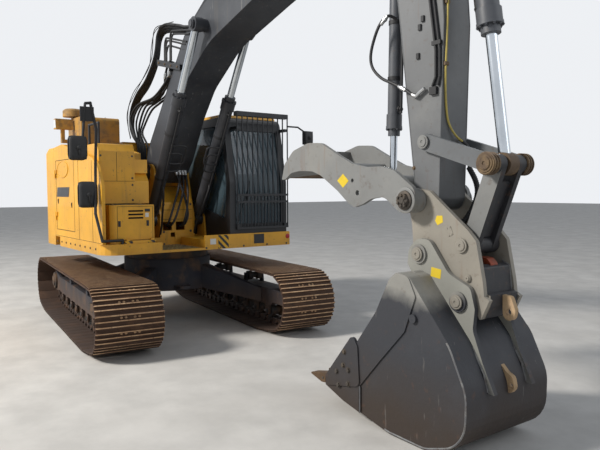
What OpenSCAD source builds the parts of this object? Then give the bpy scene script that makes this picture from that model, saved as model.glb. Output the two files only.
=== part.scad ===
/* [Undercarriage] */
// Distance between the centre lines of the two tracks
track_gauge = 2390; // [2300:10:2500]
// Width of a track shoe
shoe_w = 800; // [700:10:820]
// Distance from idler axle to sprocket axle
wheel_base = 3840; // [3700:20:3900]
// Height of the idler and sprocket axles above the ground
axle_z = 460; // [450:2:475]
// Radius of the shoe plates where they turn round an idler
shoe_r = 384; // [378:2:390]
// Height of a grouser bar above its shoe plate
grouser_h = 26; // [20:1:30]
// Length of track that lies flat on the ground
flat_len = 3000; // [2900:20:3100]
// Height of the link rails inside the shoe plates
link_h = 100; // [94:1:104]
// Thickness of a shoe plate
shoe_t = 14; // [12:1:16]
// Number of shoes in a track
shoe_count = 53; // [51:1:55]
// Width of the box beam of a track frame
side_beam_w = 300; // [280:5:320]
// Radius of the lower rollers
roller_r = 88; // [80:1:92]
// Number of lower rollers on a side
roller_count = 8; // [7:1:9]
// Angle by which the upper structure is swung to the left of the tracks
swing_rest = 6; // [0:1:12]
// Radius of the ring under the upper structure
ring_r = 620; // [580:5:660]
// Height of the underside of the upper structure
deck_z = 1160; // [1150:5:1170]

/* [Upper structure] */
// Thickness of the main frame from its underside to the deck
deck_h = 140; // [120:5:150]
// Distance from the swing axis to the front edge of the platform
front_x = 1300; // [1290:5:1310]
// Distance from the swing axis to the side of the platform
side_y = 1430; // [1410:5:1460]
// Radius that the back of the counterweight swings in
tail_r = 1950; // [1900:10:2000]
// Height of the housings where they meet the counterweight
tail_top_z = 2640; // [2620:5:2660]
// Height of the right-hand housing at its front end
housing_top_z = 2480; // [2460:5:2500]
// Height of the top of the engine hood
hood_top_z = 2740; // [2720:5:2760]
// Height of the top of the raised box behind the tank
stack_top_z = 3060; // [3040:5:3080]
// Sheet thickness of covers and doors
sheet_t = 6; // [4:1:8]

/* [Cab] */
// Distance from the swing axis to the front of the cab
cab_front = 1230; // [1200:5:1240]
// Length of the cab
cab_len = 1680; // [1600:10:1700]
// Width of the cab
cab_w = 980; // [960:5:990]
// Height of the cab roof above the ground
cab_top = 3045; // [3030:5:3060]
// Thickness of the cab walls and pillars
cab_wall = 55; // [45:1:60]
// Thickness of the window glass
glass_t = 6; // [5:1:8]

/* [Boom] */
// Sideways offset of the boom from the swing axis, to the left
boom_y = -55; // [-80:5:-30]
// Forward distance of the boom foot pin
foot_x = 100; // [80:5:120]
// Height of the boom foot pin
foot_z = 2230; // [2200:5:2260]
// Distance from the boom foot pin to the arm pin
boom_len = 5684; // [5600:4:5760]
// Angle of the line through both boom pins above the horizontal
boom_angle = 26.4; // [25:0.2:28]
// Width of the boom over its side plates
boom_w = 480; // [460:5:500]
// Distance between the centre lines of the two boom cylinders
lift_gap = 740; // [736:2:744]

/* [Arm] */
// Distance from the arm pin to the pin at the arm tip
arm_len = 2880; // [2850:5:2900]
// Angle by which the arm leans forward of a plumb line
arm_lean = 5.8; // [4:0.2:8]
// Width of the arm over its side plates
arm_w = 314; // [300:2:320]

/* [Coupler, bucket and thumb] */
// Distance between the two pins that the coupler holds
pin_spread = 520; // [510:2:526]
// Radius of the bucket pins
bucket_pin_r = 40; // [36:1:45]
// Width of the bucket over its side plates
bucket_w = 980; // [940:10:1020]
// Thickness of the bucket shell and floor
shell_t = 25; // [20:1:30]
// Thickness of the bucket side plates
side_t = 22; // [18:1:28]
// Number of teeth on the bucket
tooth_count = 5; // [4:1:6]
// Thickness of a coupler side plate
plate_t = 40; // [35:1:42]
// Gap between neighbouring plates on one pin
plate_gap = 8; // [6:1:10]
// Distance between the outer faces of the thumb plates
thumb_w = 680; // [660:5:700]

/* [Hidden] */
$fn = 48;

// Running clearance between a pin and its bore, and between faces that move past each other
fit = 0.1;
clear = 6;
// Seat gap between neighbouring fixed pieces
seat = 0.3;

// Forward reach of the bucket's back, and the middle of the whole machine
bucket_back_x = 6290;
track_rear_x = (wheel_base / 2 + shoe_r + grouser_h) * cos(swing_rest)
    + (track_gauge + shoe_w) / 2 * sin(swing_rest);
mid_x = (bucket_back_x - track_rear_x) / 2;

// Pins of the boom, in the upper structure's frame
foot_pin = [foot_x, foot_z];
foot_pin_r = 70;
arm_pin = foot_pin + boom_len * [cos(boom_angle), sin(boom_angle)];
arm_pin_r = 62;
lift_pin = foot_pin + [1830, 1810];
lift_foot = [400, 1560];
lift_pin_r = 45;
crowd_foot = foot_pin + [2150, 2620];
lift_r = 85;
lift_rod_r = 50;
lift_eye_r = 95;

// Pins of the arm
tip_pin = arm_pin + arm_len * [sin(arm_lean), -cos(arm_lean)];
tip_pin_r = 55;
crowd_pin = arm_pin + [230, 800];
curl_foot = arm_pin + [640, -280];
link_pin_arm = tip_pin + [69, 468];
thumb_foot = tip_pin + [-450, 2055];
link_pin_r = 40;

// Pins of the bucket linkage
link_pin = tip_pin + [687, 273];
coupler_link_pin = tip_pin + [455, -340];
front_pin = tip_pin + [68, -430];
rear_pin = front_pin + pin_spread * [cos(39.8), -sin(39.8)];
thumb_pin = tip_pin + [-490, 165];

// Half widths of the plates that share the tip pin, from the arm outwards
coupler_in = arm_w / 2 + plate_gap;
coupler_out = coupler_in + plate_t;
ear_in = coupler_out + plate_gap;
ear_out = ear_in + plate_t;
thumb_out = thumb_w / 2;
thumb_plate = 40;
thumb_in = thumb_out - thumb_plate;

function unit(v) = v / norm(v);
function corner(a, b, c, r, n) =
    let (u = unit(a - b), v = unit(c - b), half = acos(u * v) / 2)
    let (o = b + unit(u + v) * r / sin(half), d = r / tan(half))
    let (p = b + u * d - o, q = b + v * d - o)
    let (a0 = atan2(p[1], p[0]), turn = (atan2(q[1], q[0]) - a0 + 900) % 360 - 180)
    [for (i = [0:n]) o + r * [cos(a0 + turn * i / n), sin(a0 + turn * i / n)]];
// Outline from rows of [across, up, corner radius]
function outline(rows, n = 5) = [
    for (i = [0:len(rows) - 1])
        let (a = rows[(i + len(rows) - 1) % len(rows)], b = rows[i], c = rows[(i + 1) % len(rows)])
        each b[2] <= 0 ? [[b[0], b[1]]]
            : corner([a[0], a[1]], [b[0], b[1]], [c[0], c[1]], b[2], n)
];
function total(v, i = 0) = i >= len(v) ? 0 : v[i] + total(v, i + 1);
// The same rows moved in by d on every side
function shrink(rows, d) =
    let (n = len(rows))
    let (area = total([for (i = [0:n - 1])
        rows[i][0] * rows[(i + 1) % n][1] - rows[(i + 1) % n][0] * rows[i][1]]))
    let (s = area > 0 ? d : -d)
    [for (i = [0:n - 1])
        let (a = rows[(i + n - 1) % n], b = rows[i], c = rows[(i + 1) % n])
        let (u = unit([b[0] - a[0], b[1] - a[1]]), v = unit([c[0] - b[0], c[1] - b[1]]))
        let (m = s * [-u[1] - v[1], u[0] + v[0]] / (1 + u * v))
        [b[0] + m[0], b[1] + m[1], b[2] > d ? b[2] - d : b[2]]];
// Rows given from a pin, as rows in the frame
function from_pin(p, rows) = [for (r = rows) [p[0] + r[0], p[1] + r[1], r[2]]];
function angle_of(a, b) = atan2(b[1] - a[1], b[0] - a[0]);

// Frames: the upper structure and all that it carries, and the undercarriage below it
module upper() translate([-mid_x, 0, 0]) children();
module lower() translate([-mid_x, 0, 0]) rotate([0, 0, -swing_rest]) children();
// A plate in the vertical plane, thick along Y and centred on y
module plate(t, y = 0) translate([0, y + t / 2, 0]) rotate([90, 0, 0]) linear_extrude(t) children();
// A pair of plates either side of a centre line, between two half widths
module pair(y_in, y_out, y = 0) {
    plate(y_out - y_in, y + (y_in + y_out) / 2) children();
    plate(y_out - y_in, y - (y_in + y_out) / 2) children();
}
// A cylinder along Y on pin p, centred on y, and a pair of them between two half widths
module across(r, w, p, y = 0) translate([p[0], y, p[1]]) rotate([90, 0, 0]) cylinder(r = r, h = w, center = true);
module bosses(r, y_in, y_out, p, y = 0) {
    across(r, y_out - y_in, p, y + (y_in + y_out) / 2);
    across(r, y_out - y_in, p, y - (y_in + y_out) / 2);
}
// Children drawn along +X are laid from p towards q in the plane at y
module along(p, q, y = 0) translate([p[0], y, p[1]]) rotate([0, -angle_of(p, q), 0]) children();
module rod_x(r, x0, x1) translate([x0, 0, 0]) rotate([0, 90, 0]) cylinder(r = r, h = x1 - x0);
module block(lo, hi) translate(lo) cube(hi - lo);
// A round bar from p to q, and a bent tube through a list of points
module bar(p, q, r) translate(p)
    rotate([0, acos((q - p)[2] / norm(q - p)), atan2((q - p)[1], (q - p)[0])])
        cylinder(r = r, h = norm(q - p), $fn = 24);
module tube(points, r) {
    for (i = [0:len(points) - 2]) bar(points[i], points[i + 1], r);
    for (i = [1:len(points) - 2]) translate(points[i]) sphere(r = r * 1.08);
}
module both_tracks() {
    translate([0, track_gauge / 2, 0]) children();
    translate([0, -track_gauge / 2, 0]) children();
}

// Track path: flat run, ramp up to the idler, half turn, top run and back, as distance s goes round
half_base = wheel_base / 2;
ramp_to = [half_base - flat_len / 2, axle_z - grouser_h];
ramp_len = sqrt(ramp_to * ramp_to - shoe_r * shoe_r);
ramp_a = atan2(ramp_to[1], ramp_to[0]) - asin(shoe_r / norm(ramp_to));
turn_len = shoe_r * (180 - ramp_a) * PI / 180;
half_loop = flat_len / 2 + ramp_len + turn_len + half_base;
loop_len = 2 * half_loop;
// Point and outward normal on the front half of the path, with s from 0 at the middle of the flat
function half_path(s) =
    s < flat_len / 2 ? [[s, grouser_h], [0, -1]]
    : s < flat_len / 2 + ramp_len
        ? let (d = s - flat_len / 2)
        [[flat_len / 2 + d * cos(ramp_a), grouser_h + d * sin(ramp_a)], [sin(ramp_a), -cos(ramp_a)]]
    : s < flat_len / 2 + ramp_len + turn_len
        ? let (a = ramp_a - 90 + (s - flat_len / 2 - ramp_len) / shoe_r * 180 / PI)
        [[half_base + shoe_r * cos(a), axle_z + shoe_r * sin(a)], [cos(a), sin(a)]]
    : [[half_loop - s, axle_z + shoe_r], [0, 1]];
function path(s) =
    let (t = (s % loop_len + loop_len) % loop_len)
    t <= half_loop ? half_path(t)
    : let (p = half_path(loop_len - t)) [[-p[0][0], p[0][1]], [-p[1][0], p[1][1]]];
function path_at(s, out) = let (p = path(s)) p[0] + p[1] * out;
shoe_pitch = loop_len / shoe_count;
bar_half = 12;
bars_per_shoe = 3;
track_outer = [
    for (k = [0:shoe_count - 1])
        for (j = [0:bars_per_shoe - 1])
            let (s = (k + (j + 0.5) / bars_per_shoe) * shoe_pitch)
            each [path_at(s - bar_half, 0), path_at(s, grouser_h), path_at(s + bar_half, 0)]
];
turn_steps = 24;
knee = ([0, -1] + [sin(ramp_a), -cos(ramp_a)]) / (1 + cos(ramp_a));
function inner_half(depth) = concat([[flat_len / 2, grouser_h] - depth * knee],
    [for (i = [0:turn_steps]) path_at(flat_len / 2 + ramp_len + turn_len * i / turn_steps, -depth)]);
function track_inner(depth) =
    let (h = inner_half(depth))
    concat(h, [for (i = [len(h) - 1:-1:0]) [-h[i][0], h[i][1]]]);
rail_w = 46;
rail_gap = 110;
module track() {
    difference() {
        plate(shoe_w) polygon(track_outer);
        plate(shoe_w + 2) polygon(track_inner(shoe_t));
    }
    for (side = [-1, 1])
        difference() {
            plate(rail_w, side * (rail_gap + rail_w) / 2) polygon(track_inner(shoe_t));
            plate(rail_w + 2, side * (rail_gap + rail_w) / 2) polygon(track_inner(shoe_t + link_h));
        }
}
module track_right() color("#5b4636") lower() translate([0, -track_gauge / 2, 0]) track();
module track_left() color("#5b4636") lower() translate([0, track_gauge / 2, 0]) track();

// Wheels run on the rails with a small gap; the final drives sit inside the sprockets
wheel_r = shoe_r - shoe_t - link_h - 0.7;
hub_w = 150;
wheel_w = 96;
sprocket_teeth = 21;
drive_r = 185;
drive_hub_r = 140;
module drive() {
    plate(wheel_w - 30)
        polygon([for (i = [0:2 * sprocket_teeth - 1])
            let (r = i % 2 == 0 ? wheel_r : wheel_r - 26)
            r * [cos(i * 180 / sprocket_teeth), sin(i * 180 / sprocket_teeth)]]);
    across(drive_r, hub_w, [0, 0]);
    across(drive_hub_r, side_beam_w + 30, [0, 0]);
}
module drives() color("#2a2a2e") lower() both_tracks() translate([-half_base, 0, axle_z]) drive();

axle_r = 60;
bracket_t = 24;
shaft_w = side_beam_w - 2 * bracket_t - 2 * seat;
roller_z = grouser_h + shoe_t + link_h + roller_r + seat;
roller_step = (flat_len - 300) / (roller_count - 1);
top_roller_r = 70;
top_roller_z = axle_z + shoe_r - shoe_t - link_h - top_roller_r - seat;
module roller(r, w) {
    for (side = [-1, 1]) across(r, rail_w + 20, [0, 0], side * (rail_gap + rail_w) / 2);
    across(r - 22, rail_gap, [0, 0]);
    across(30, w, [0, 0]);
}
module wheels() color("#2a2a2e") lower() both_tracks() {
    translate([half_base, 0, axle_z]) {
        across(wheel_r, wheel_w, [0, 0]);
        across(wheel_r - 40, hub_w, [0, 0]);
        across(axle_r, side_beam_w - 80 - 2 * seat, [0, 0]);
    }
    for (i = [0:roller_count - 1])
        translate([(i - (roller_count - 1) / 2) * roller_step, 0, roller_z]) roller(roller_r, shaft_w);
    for (x = [-600, 600])
        translate([x, 0, top_roller_z]) roller(top_roller_r, shaft_w);
}

// Side frames between the wheels: a box beam, forks for the idler and drive, roller brackets
beam_bottom = 320;
beam_top = 560;
module track_frame() {
    plate(side_beam_w) polygon(outline([[-1580, beam_bottom, 60], [1500, beam_bottom, 60],
        [1500, beam_top, 60], [-1580, beam_top, 60]]));
    pair(side_beam_w / 2 - 40, side_beam_w / 2) polygon(outline([[1400, axle_z - 90, 40],
        [half_base + 90, axle_z - 90, 60], [half_base + 90, axle_z + 90, 60], [1400, axle_z + 90, 40]]));
    for (i = [0:roller_count - 1])
        pair(side_beam_w / 2 - bracket_t, side_beam_w / 2)
            translate([(i - (roller_count - 1) / 2) * roller_step, 0])
                polygon([[-70, beam_bottom + 20], [-55, roller_z - 45], [55, roller_z - 45], [70, beam_bottom + 20]]);
    for (x = [-600, 600])
        pair(side_beam_w / 2 - bracket_t, side_beam_w / 2)
            polygon([[x - 60, beam_top - 20], [x - 40, top_roller_z + 40], [x + 40, top_roller_z + 40],
                [x + 60, beam_top - 20]]);
    difference() {
        pair(side_beam_w / 2 - 40, side_beam_w / 2) polygon(outline([[-1500, axle_z - 120, 0],
            [-1500, axle_z + 90, 0], [-half_base - 60, axle_z + 175, 120], [-half_base - 190, axle_z, 150],
            [-half_base - 60, axle_z - 175, 120]]));
        across(drive_hub_r + fit, side_beam_w + 2, [-half_base, axle_z]);
    }
}
module track_frames() color("#1e2430") lower() both_tracks() track_frame();

// Centre frame: a hub with four legs that run out to the side frames
hub_top = 985;
ring_top = 1080;
module centre_frame() color("#1e2430") lower() {
    difference() {
        translate([0, 0, 520]) cylinder(r = ring_r + 30, h = hub_top - 520, $fn = 96);
        translate([0, 0, 519]) cylinder(r = ring_r - 160, h = hub_top);
    }
    leg_y = track_gauge / 2 - side_beam_w / 2 - seat;
    for (sx = [-1, 1])
        for (sy = [-1, 1])
            hull() {
                translate([sx * 420, sy * 380, 540]) cylinder(r = 120, h = 330, $fn = 32);
                translate([sx * 1000, sy * (leg_y - 10), 340]) block([-190, -10, 0], [190, 10, 200]);
            }
}
module swing_ring() color("#2a2a2e") lower() difference() {
    translate([0, 0, hub_top + seat]) cylinder(r = ring_r, h = ring_top - hub_top - 2 * seat);
    translate([0, 0, hub_top - 1]) cylinder(r = ring_r - 130, h = 200);
}
// A flat lug with a shackle hole at each end of the centre frame
tow_bore_r = 35;
tow_t = 40;
tow_x = 735;
tow_z = 580;
module tow_eyes() color("#1e2430") lower() for (side = [-1, 1])
    translate([0, 0, tow_z - tow_t / 2]) linear_extrude(tow_t) difference() {
        polygon(outline([[side * 560, -130, 0], [side * (tow_x + 85), -85, 70],
            [side * (tow_x + 85), 85, 70], [side * 560, 130, 0]]));
        circle(r = ring_r + 30 + seat, $fn = 96);
        translate([side * tow_x, 0]) circle(r = tow_bore_r);
    }

// Platform: the deck with its front skirt, the towers that hold the boom, and the centre cover
deck_top = deck_z + deck_h;
tower_in = boom_w / 2 + clear;
tower_out = tower_in + 30;
tower_front = 500;
skirt_top = 1360;
// Sunk floor in the middle of the platform's front
pocket_z = deck_z + 30;
pocket_y = [-650, -20];
cover_top = 1810;
lift_eye_w = 110;
bracket_in = lift_gap / 2 + lift_eye_w / 2 + clear;
bracket_out = bracket_in + 30;
module main_frame() color("#e0a21c") upper() {
    difference() {
        translate([0, 0, deck_z]) linear_extrude(deck_h) polygon(outline([[front_x, -side_y, 250],
            [front_x, side_y, 40], [-700, side_y, 100], [-900, 1150, 60], [-900, -1150, 60],
            [-700, -side_y, 100]]));
        block([tower_front + 40, pocket_y[0], pocket_z], [front_x + 1, pocket_y[1], deck_top + 1]);
        block([480, boom_y - tower_in, pocket_z], [tower_front + 41, boom_y + tower_in, deck_top + 1]);
    }
    translate([0, 0, ring_top + seat]) cylinder(r = ring_r - 20, h = deck_z - ring_top);
    block([front_x - 30, -20, deck_top - 1], [front_x, side_y - 20, skirt_top]);
    pair(tower_in, tower_out, boom_y) polygon(outline([[-300, deck_top - 1, 0], [tower_front, deck_top - 1, 0],
        [tower_front, 1640, 60], [440, 1800, 60], [280, 2380, 150], [-80, 2380, 150], [-300, 1900, 80]]));
    across(foot_pin_r, tower_out * 2 + 30, foot_pin, boom_y);
    bosses(110, tower_out - 1, tower_out + 12, foot_pin, boom_y);
    // Outer plates and pins of the boom cylinders' feet
    pair(bracket_in, bracket_out, boom_y) polygon(outline([[270, deck_top - 1, 0], [530, deck_top - 1, 0],
        [lift_foot[0] + 80, lift_foot[1] + 80, 80], [lift_foot[0] - 80, lift_foot[1] + 80, 80]]));
    bosses(lift_pin_r, tower_out - 1, bracket_out + 12, lift_foot, boom_y);
    // Bent cover between the towers, with two holes for hoses and a slot, and its back plate
    difference() {
        plate(2 * tower_in + 2, boom_y) polygon([[492, pocket_z - 1], [492, cover_top], [400, cover_top + 40],
            [60, 2045], [-230, 2045], [-296, 1893], [-288, 1889], [-226, 2037], [58, 2037], [396, cover_top + 32],
            [484, cover_top - 6], [484, pocket_z - 1]]);
        for (y = [-160, 45]) block([400, boom_y + y - 70, 1400], [tower_front, boom_y + y + 70, 1525]);
        block([400, boom_y - 108, 1222], [tower_front, boom_y - 40, 1366]);
    }
    block([-300, boom_y - tower_in - 1, deck_top - 1], [-280, boom_y + tower_in + 1, 1895]);
}

// Tail: round in plan, cut by its side profile
function ring_points(r, a0, a1, n) =
    [for (i = [0:n]) r * [cos(a0 + (a1 - a0) * i / n), sin(a0 + (a1 - a0) * i / n)]];
tail_a = 180 - asin(side_y / tail_r);
tail_front = -900 - seat;
module counterweight() color("#e0a21c") upper() intersection() {
    translate([0, 0, deck_z]) linear_extrude(1600)
        polygon(concat([[tail_front, side_y], [tail_front, -side_y]], ring_points(tail_r, 360 - tail_a, tail_a, 20)));
    plate(2 * side_y + 20) polygon(outline([[tail_front, deck_z, 0], [tail_front, tail_top_z, 0],
        [-1150, tail_top_z, 60], [-1300, tail_top_z - 60, 250], [-tail_r + 60, tail_top_z - 340, 250], [-tail_r + 20, deck_z, 60]]));
}

// Door hinges: a bored knuckle on the frame and a knuckle with a pin above it on the door
hinge_off = 16;
hinge_r = 12;
hinge_pin_r = 6;
hinge_h = 60;
module hinge_knuckles(p, side, zs) for (z = zs) difference() {
    union() {
        translate([p[0], p[1] + side * hinge_off, z - hinge_h]) cylinder(r = hinge_r, h = hinge_h);
        block([p[0] - 50, min(p[1] - side, p[1] + side * hinge_off), z - hinge_h],
            [p[0] - 3, max(p[1] - side, p[1] + side * hinge_off), z]);
    }
    translate([p[0], p[1] + side * hinge_off, z - hinge_h - 1]) cylinder(r = hinge_pin_r + fit, h = hinge_h + 2);
}
module hinge_leaves(p, side, zs) for (z = zs) {
    translate([p[0], p[1] + side * hinge_off, z + 1]) cylinder(r = hinge_r, h = hinge_h);
    translate([p[0], p[1] + side * hinge_off, z - hinge_h + 5]) cylinder(r = hinge_pin_r, h = hinge_h);
    block([p[0] + 3, min(p[1] - 5 * side, p[1] + side * hinge_off), z + 1],
        [p[0] + 50, max(p[1] - 5 * side, p[1] + side * hinge_off), z + 1 + hinge_h]);
}

// Right-hand side: housing with its door, tank stack and tool box in front of it
door_z0 = deck_top + 110;
door_z1 = 2440;
right_door_x = [-800, 100];
wing_t = 40;
side_top = outline([[-895, deck_top + seat, 0], [1262, deck_top + seat, 40], [1262, 2060, 250],
    [1080, 2330, 250], [880, housing_top_z - 60, 160], [640, housing_top_z - 20, 160], [-440, 2670, 500], [-895, tail_top_z, 0]]);
rear_front = 300;
stack_y = [-1240, -680];
housing_in = -530;
bay_wall_x = -402;
lid_hinge = [-405, 2662];
lid_hinge_y = [-350, 220];
module right_housing() color("#e0a21c") upper() {
    difference() {
        intersection() {
            block([-895, -side_y, deck_top + seat], [rear_front, housing_in, 2700]);
            plate(3000) polygon(side_top);
        }
        block([right_door_x[0] + 30, -side_y + 31, door_z0 + 20], [right_door_x[1] - 30, housing_in - 30, door_z1 - 20]);
        block([right_door_x[0], -side_y - 1, door_z0], [right_door_x[1], -side_y + 31, door_z1]);
    }
    intersection() {
        block([rear_front - 1, -side_y, deck_top + seat], [1262, -side_y + wing_t, 2700]);
        plate(3000) polygon(side_top);
    }
    hinge_knuckles([right_door_x[0] + clear, -side_y], -1, [door_z0 + 200, door_z1 - 200]);
    // Front wall of the engine bay, with the knuckles of the lid
    block([bay_wall_x, housing_in - 1, deck_top + seat], [bay_wall_x + 20, 405 - seat, tail_top_z]);
    for (y = lid_hinge_y) difference() {
        union() {
            across(hinge_r, hinge_h, lid_hinge, y);
            block([lid_hinge[0] - 4, y - hinge_h / 2, tail_top_z - 20], [bay_wall_x + 12, y + hinge_h / 2, lid_hinge[1]]);
        }
        across(hinge_pin_r + fit, hinge_h + 2, lid_hinge, y);
    }
    // Raised box over the rear part
    difference() {
        plate(stack_y[1] - stack_y[0], (stack_y[0] + stack_y[1]) / 2) polygon(outline([[-760, 2600, 0],
            [-760, stack_top_z, 60], [-120, stack_top_z, 60], [-120, 2600, 0]]));
        block([-740, stack_y[0] + 20, 2690], [-140, stack_y[1] - 20, stack_top_z - 20]);
    }
}
module door_leaf(x, y_out, y_in) {
    block([x[0] + clear, min(y_out, y_in), door_z0 + clear], [x[1] - clear, max(y_out, y_in), door_z1 - clear]);
}
module right_door() color("#e0a21c") upper() {
    door_leaf(right_door_x, -side_y, -side_y + 24);
    hinge_leaves([right_door_x[0] + clear, -side_y], -1, [door_z0 + 200, door_z1 - 200]);
}

// Left-hand side behind the cab
cab_back = cab_front - cab_len;
left_door_x = [-840, cab_back - 40];
module left_housing() color("#e0a21c") upper() {
    difference() {
        block([-895, 405, deck_top + seat], [cab_back - 14, side_y, tail_top_z]);
        block([left_door_x[0] + 20, 430, door_z0 + 20], [left_door_x[1] - 20, side_y - 30, door_z1 - 20]);
        block([left_door_x[0], side_y - 31, door_z0], [left_door_x[1], side_y + 1, door_z1]);
    }
    hinge_knuckles([left_door_x[0] + clear, side_y], 1, [door_z0 + 200, door_z1 - 200]);
}
module left_door() color("#e0a21c") upper() {
    door_leaf(left_door_x, side_y, side_y - 24);
    hinge_leaves([left_door_x[0] + clear, side_y], 1, [door_z0 + 200, door_z1 - 200]);
}

// Lid over the engine bay
hood_x = [-880, -422];
hood_low_z = tail_top_z + clear;
module engine_hood() color("#e0a21c") upper() {
    difference() {
        block([hood_x[0], housing_in + clear, hood_low_z], [hood_x[1], 405 - clear, hood_top_z]);
        block([hood_x[0] + 20, housing_in + 26, hood_low_z - 1], [hood_x[1] - 20, 379, hood_top_z - 20]);
    }
    for (y = lid_hinge_y) {
        across(hinge_r, hinge_h, lid_hinge, y + hinge_h + 1);
        across(hinge_pin_r, hinge_h, lid_hinge, y + 5);
        block([hood_x[1] - 1, y + hinge_h / 2 + 1, lid_hinge[1] - 5], [lid_hinge[0], y + 1.5 * hinge_h + 1, lid_hinge[1] + 8]);
    }
}
module engine() color("#3a3a3a") upper() {
    block([-880, -330, deck_top + seat], [-430, 330, 2200]);
}
tank_x = 1000;
tank_y = [-side_y + 55, -895];
step_y = -705;
module fuel_tank() color("#e0a21c") upper() {
    plate(tank_y[1] - tank_y[0], (tank_y[0] + tank_y[1]) / 2) polygon(outline([[rear_front + 5, deck_top + seat, 0],
        [700, deck_top + seat, 0], [700, 1815, 0], [tank_x, 1815, 0], [tank_x, 2500, 20],
        [tank_x - 60, 2600, 30], [rear_front + 5, 2600, 0]]));
    plate(step_y - tank_y[1] + 1, (tank_y[1] + step_y - 1) / 2) polygon(outline([[rear_front + 5, deck_top + seat, 0],
        [700, deck_top + seat, 0], [700, 1815, 0], [tank_x, 1815, 0], [tank_x, 2110, 20],
        [tank_x - 95, 2225, 30], [rear_front + 5, 2225, 0]]));
    block([tank_x - 200, tank_y[1] - 1, 2219], [tank_x - 40, step_y, 2400]);
}
// Tool box with louvre slots and a sloping outer front edge, and the step in front of it
box_y = [-1315, -740];
module tool_box() color("#e0a21c") upper() {
    difference() {
        translate([0, 0, deck_top + seat]) linear_extrude(1800 - deck_top) polygon([[710, box_y[0]],
            [front_x - 110, box_y[0]], [front_x - 50, box_y[0] + 60], [front_x - 50, box_y[1]], [710, box_y[1]]]);
        for (z = [1620, 1665, 1710]) block([front_x - 80, -1090, z], [front_x, -890, z + 22]);
    }
    block([front_x - 51, box_y[0] + 160, deck_top + seat], [front_x - 12, box_y[1], deck_top + 40]);
    for (y = [-1130, -800]) block([front_x - 51, y, deck_top + 39], [front_x - 12, y + 40, deck_top + 60]);
}
// Lamp box on its post and a round cap at the right rear
module roof_fittings() color("#e0a21c") upper() {
    block([-520, -1425, 2690], [-470, -1375, 2900]);
    block([-520, -1425, 2690], [-440, stack_y[0] - seat, 2740]);
    plate(250, -1385) polygon([[-560, 2890], [-430, 2890], [-450, 3040], [-540, 3040]]);
    block([-650, -1230, stack_top_z + seat], [-550, -1130, stack_top_z + 40]);
    translate([-600, -1220, stack_top_z + 30]) cylinder(r = 140, h = 90);
    translate([-600, -1220, stack_top_z + 119]) cylinder(r1 = 140, r2 = 105, h = 28);
}

// Cab: side profile seen from the right, hollow, with its windows cut
cab_y1 = side_y - 30;
cab_y0 = cab_y1 - cab_w;
cab_floor = deck_top + seat;
cab_mid = (cab_y0 + cab_y1) / 2;
cab_slope = 180;
slope_z = 2100;
cab_rows = [[cab_back, cab_floor, 30], [cab_front, cab_floor, 60], [cab_front, slope_z, 250],
    [cab_front - cab_slope, cab_top, 130], [cab_back, cab_top, 120]];
door_rows = [[cab_front - 880, cab_floor + 80, 60], [cab_front - 130, cab_floor + 80, 80],
    [cab_front - 105, slope_z, 150], [cab_front - 260, cab_top - 110, 120], [cab_front - 880, cab_top - 110, 80]];
pane_rows = [[cab_front - 790, 1750, 60], [cab_front - 215, 1750, 60], [cab_front - 195, slope_z, 100],
    [cab_front - 330, cab_top - 195, 80], [cab_front - 790, cab_top - 195, 60]];
side_rows = [[cab_back + 120, 1900, 60], [cab_front - 120, 1560, 80], [cab_front - 105, slope_z + 10, 120],
    [cab_front - 250, cab_top - 120, 90], [cab_back + 120, cab_top - 120, 70]];
front_low = 1500;
front_high = cab_top - 190;
rear_low = 2050;
rear_high = cab_top - 150;
frame_y = 100;
function slope_x(z, d) = cab_front - d * 1.016 - max(0, z - slope_z) * cab_slope / (cab_top - slope_z);
door_hinge = [cab_front - 880 + clear, cab_y1];
door_hinge_z = [1600, 2600];
module cab_shell() color("#26262a") upper() {
    difference() {
        plate(cab_w, cab_mid) polygon(outline(cab_rows));
        plate(cab_w - 2 * cab_wall, cab_mid) polygon(outline(shrink(cab_rows, cab_wall)));
        plate(cab_wall * 3, cab_y0) polygon(outline(side_rows));
        plate(cab_wall * 3, cab_y1) polygon(outline(door_rows));
        block([cab_front - 330, cab_y0 + frame_y, front_low], [cab_front + 10, cab_y1 - frame_y, front_high]);
        block([cab_back - 10, cab_y0 + frame_y, rear_low], [cab_back + 200, cab_y1 - frame_y, rear_high]);
    }
    hinge_knuckles(door_hinge, 1, door_hinge_z);
}
module cab_roof() color("#e0a21c") upper() plate(cab_w - 60, cab_mid) polygon(outline([
    [cab_back + 30, cab_top + seat, 0], [cab_front - cab_slope - 70, cab_top + seat, 0],
    [cab_front - cab_slope - 110, cab_top + 45, 30], [cab_back + 60, cab_top + 45, 30]]));
leaf_y = cab_y1 - cab_wall / 2;
module cab_door() color("#26262a") upper() {
    difference() {
        plate(cab_wall - 6, leaf_y) polygon(outline(shrink(door_rows, clear)));
        plate(cab_wall + 6, leaf_y) polygon(outline(pane_rows));
    }
    hinge_leaves(door_hinge, 1, door_hinge_z);
    // Handle by the front edge
    block([cab_front - 330, cab_y1 - 12, 1640], [cab_front - 190, cab_y1 + 22, 1680]);
}
module door_glass() color("#7fa0a8") upper() plate(glass_t, leaf_y) polygon(outline(shrink(pane_rows, seat)));
module cab_glass() color("#7fa0a8") upper() {
    plate(glass_t, cab_y0 + cab_wall / 2) polygon(outline(shrink(side_rows, seat)));
    block([cab_back + 20, cab_y0 + frame_y + seat, rear_low + seat],
        [cab_back + 20 + glass_t, cab_y1 - frame_y - seat, rear_high - seat]);
    plate(cab_w - 2 * frame_y - 2 * seat, cab_mid) polygon([[slope_x(0, 24), front_low + seat],
        [slope_x(0, 18), front_low + seat], [slope_x(0, 18), slope_z - 120], [slope_x(slope_z + 120, 18), slope_z + 120],
        [slope_x(front_high, 18), front_high - seat], [slope_x(front_high, 24), front_high - seat],
        [slope_x(slope_z + 120, 24), slope_z + 120], [slope_x(0, 24), slope_z - 120]]);
}
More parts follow.
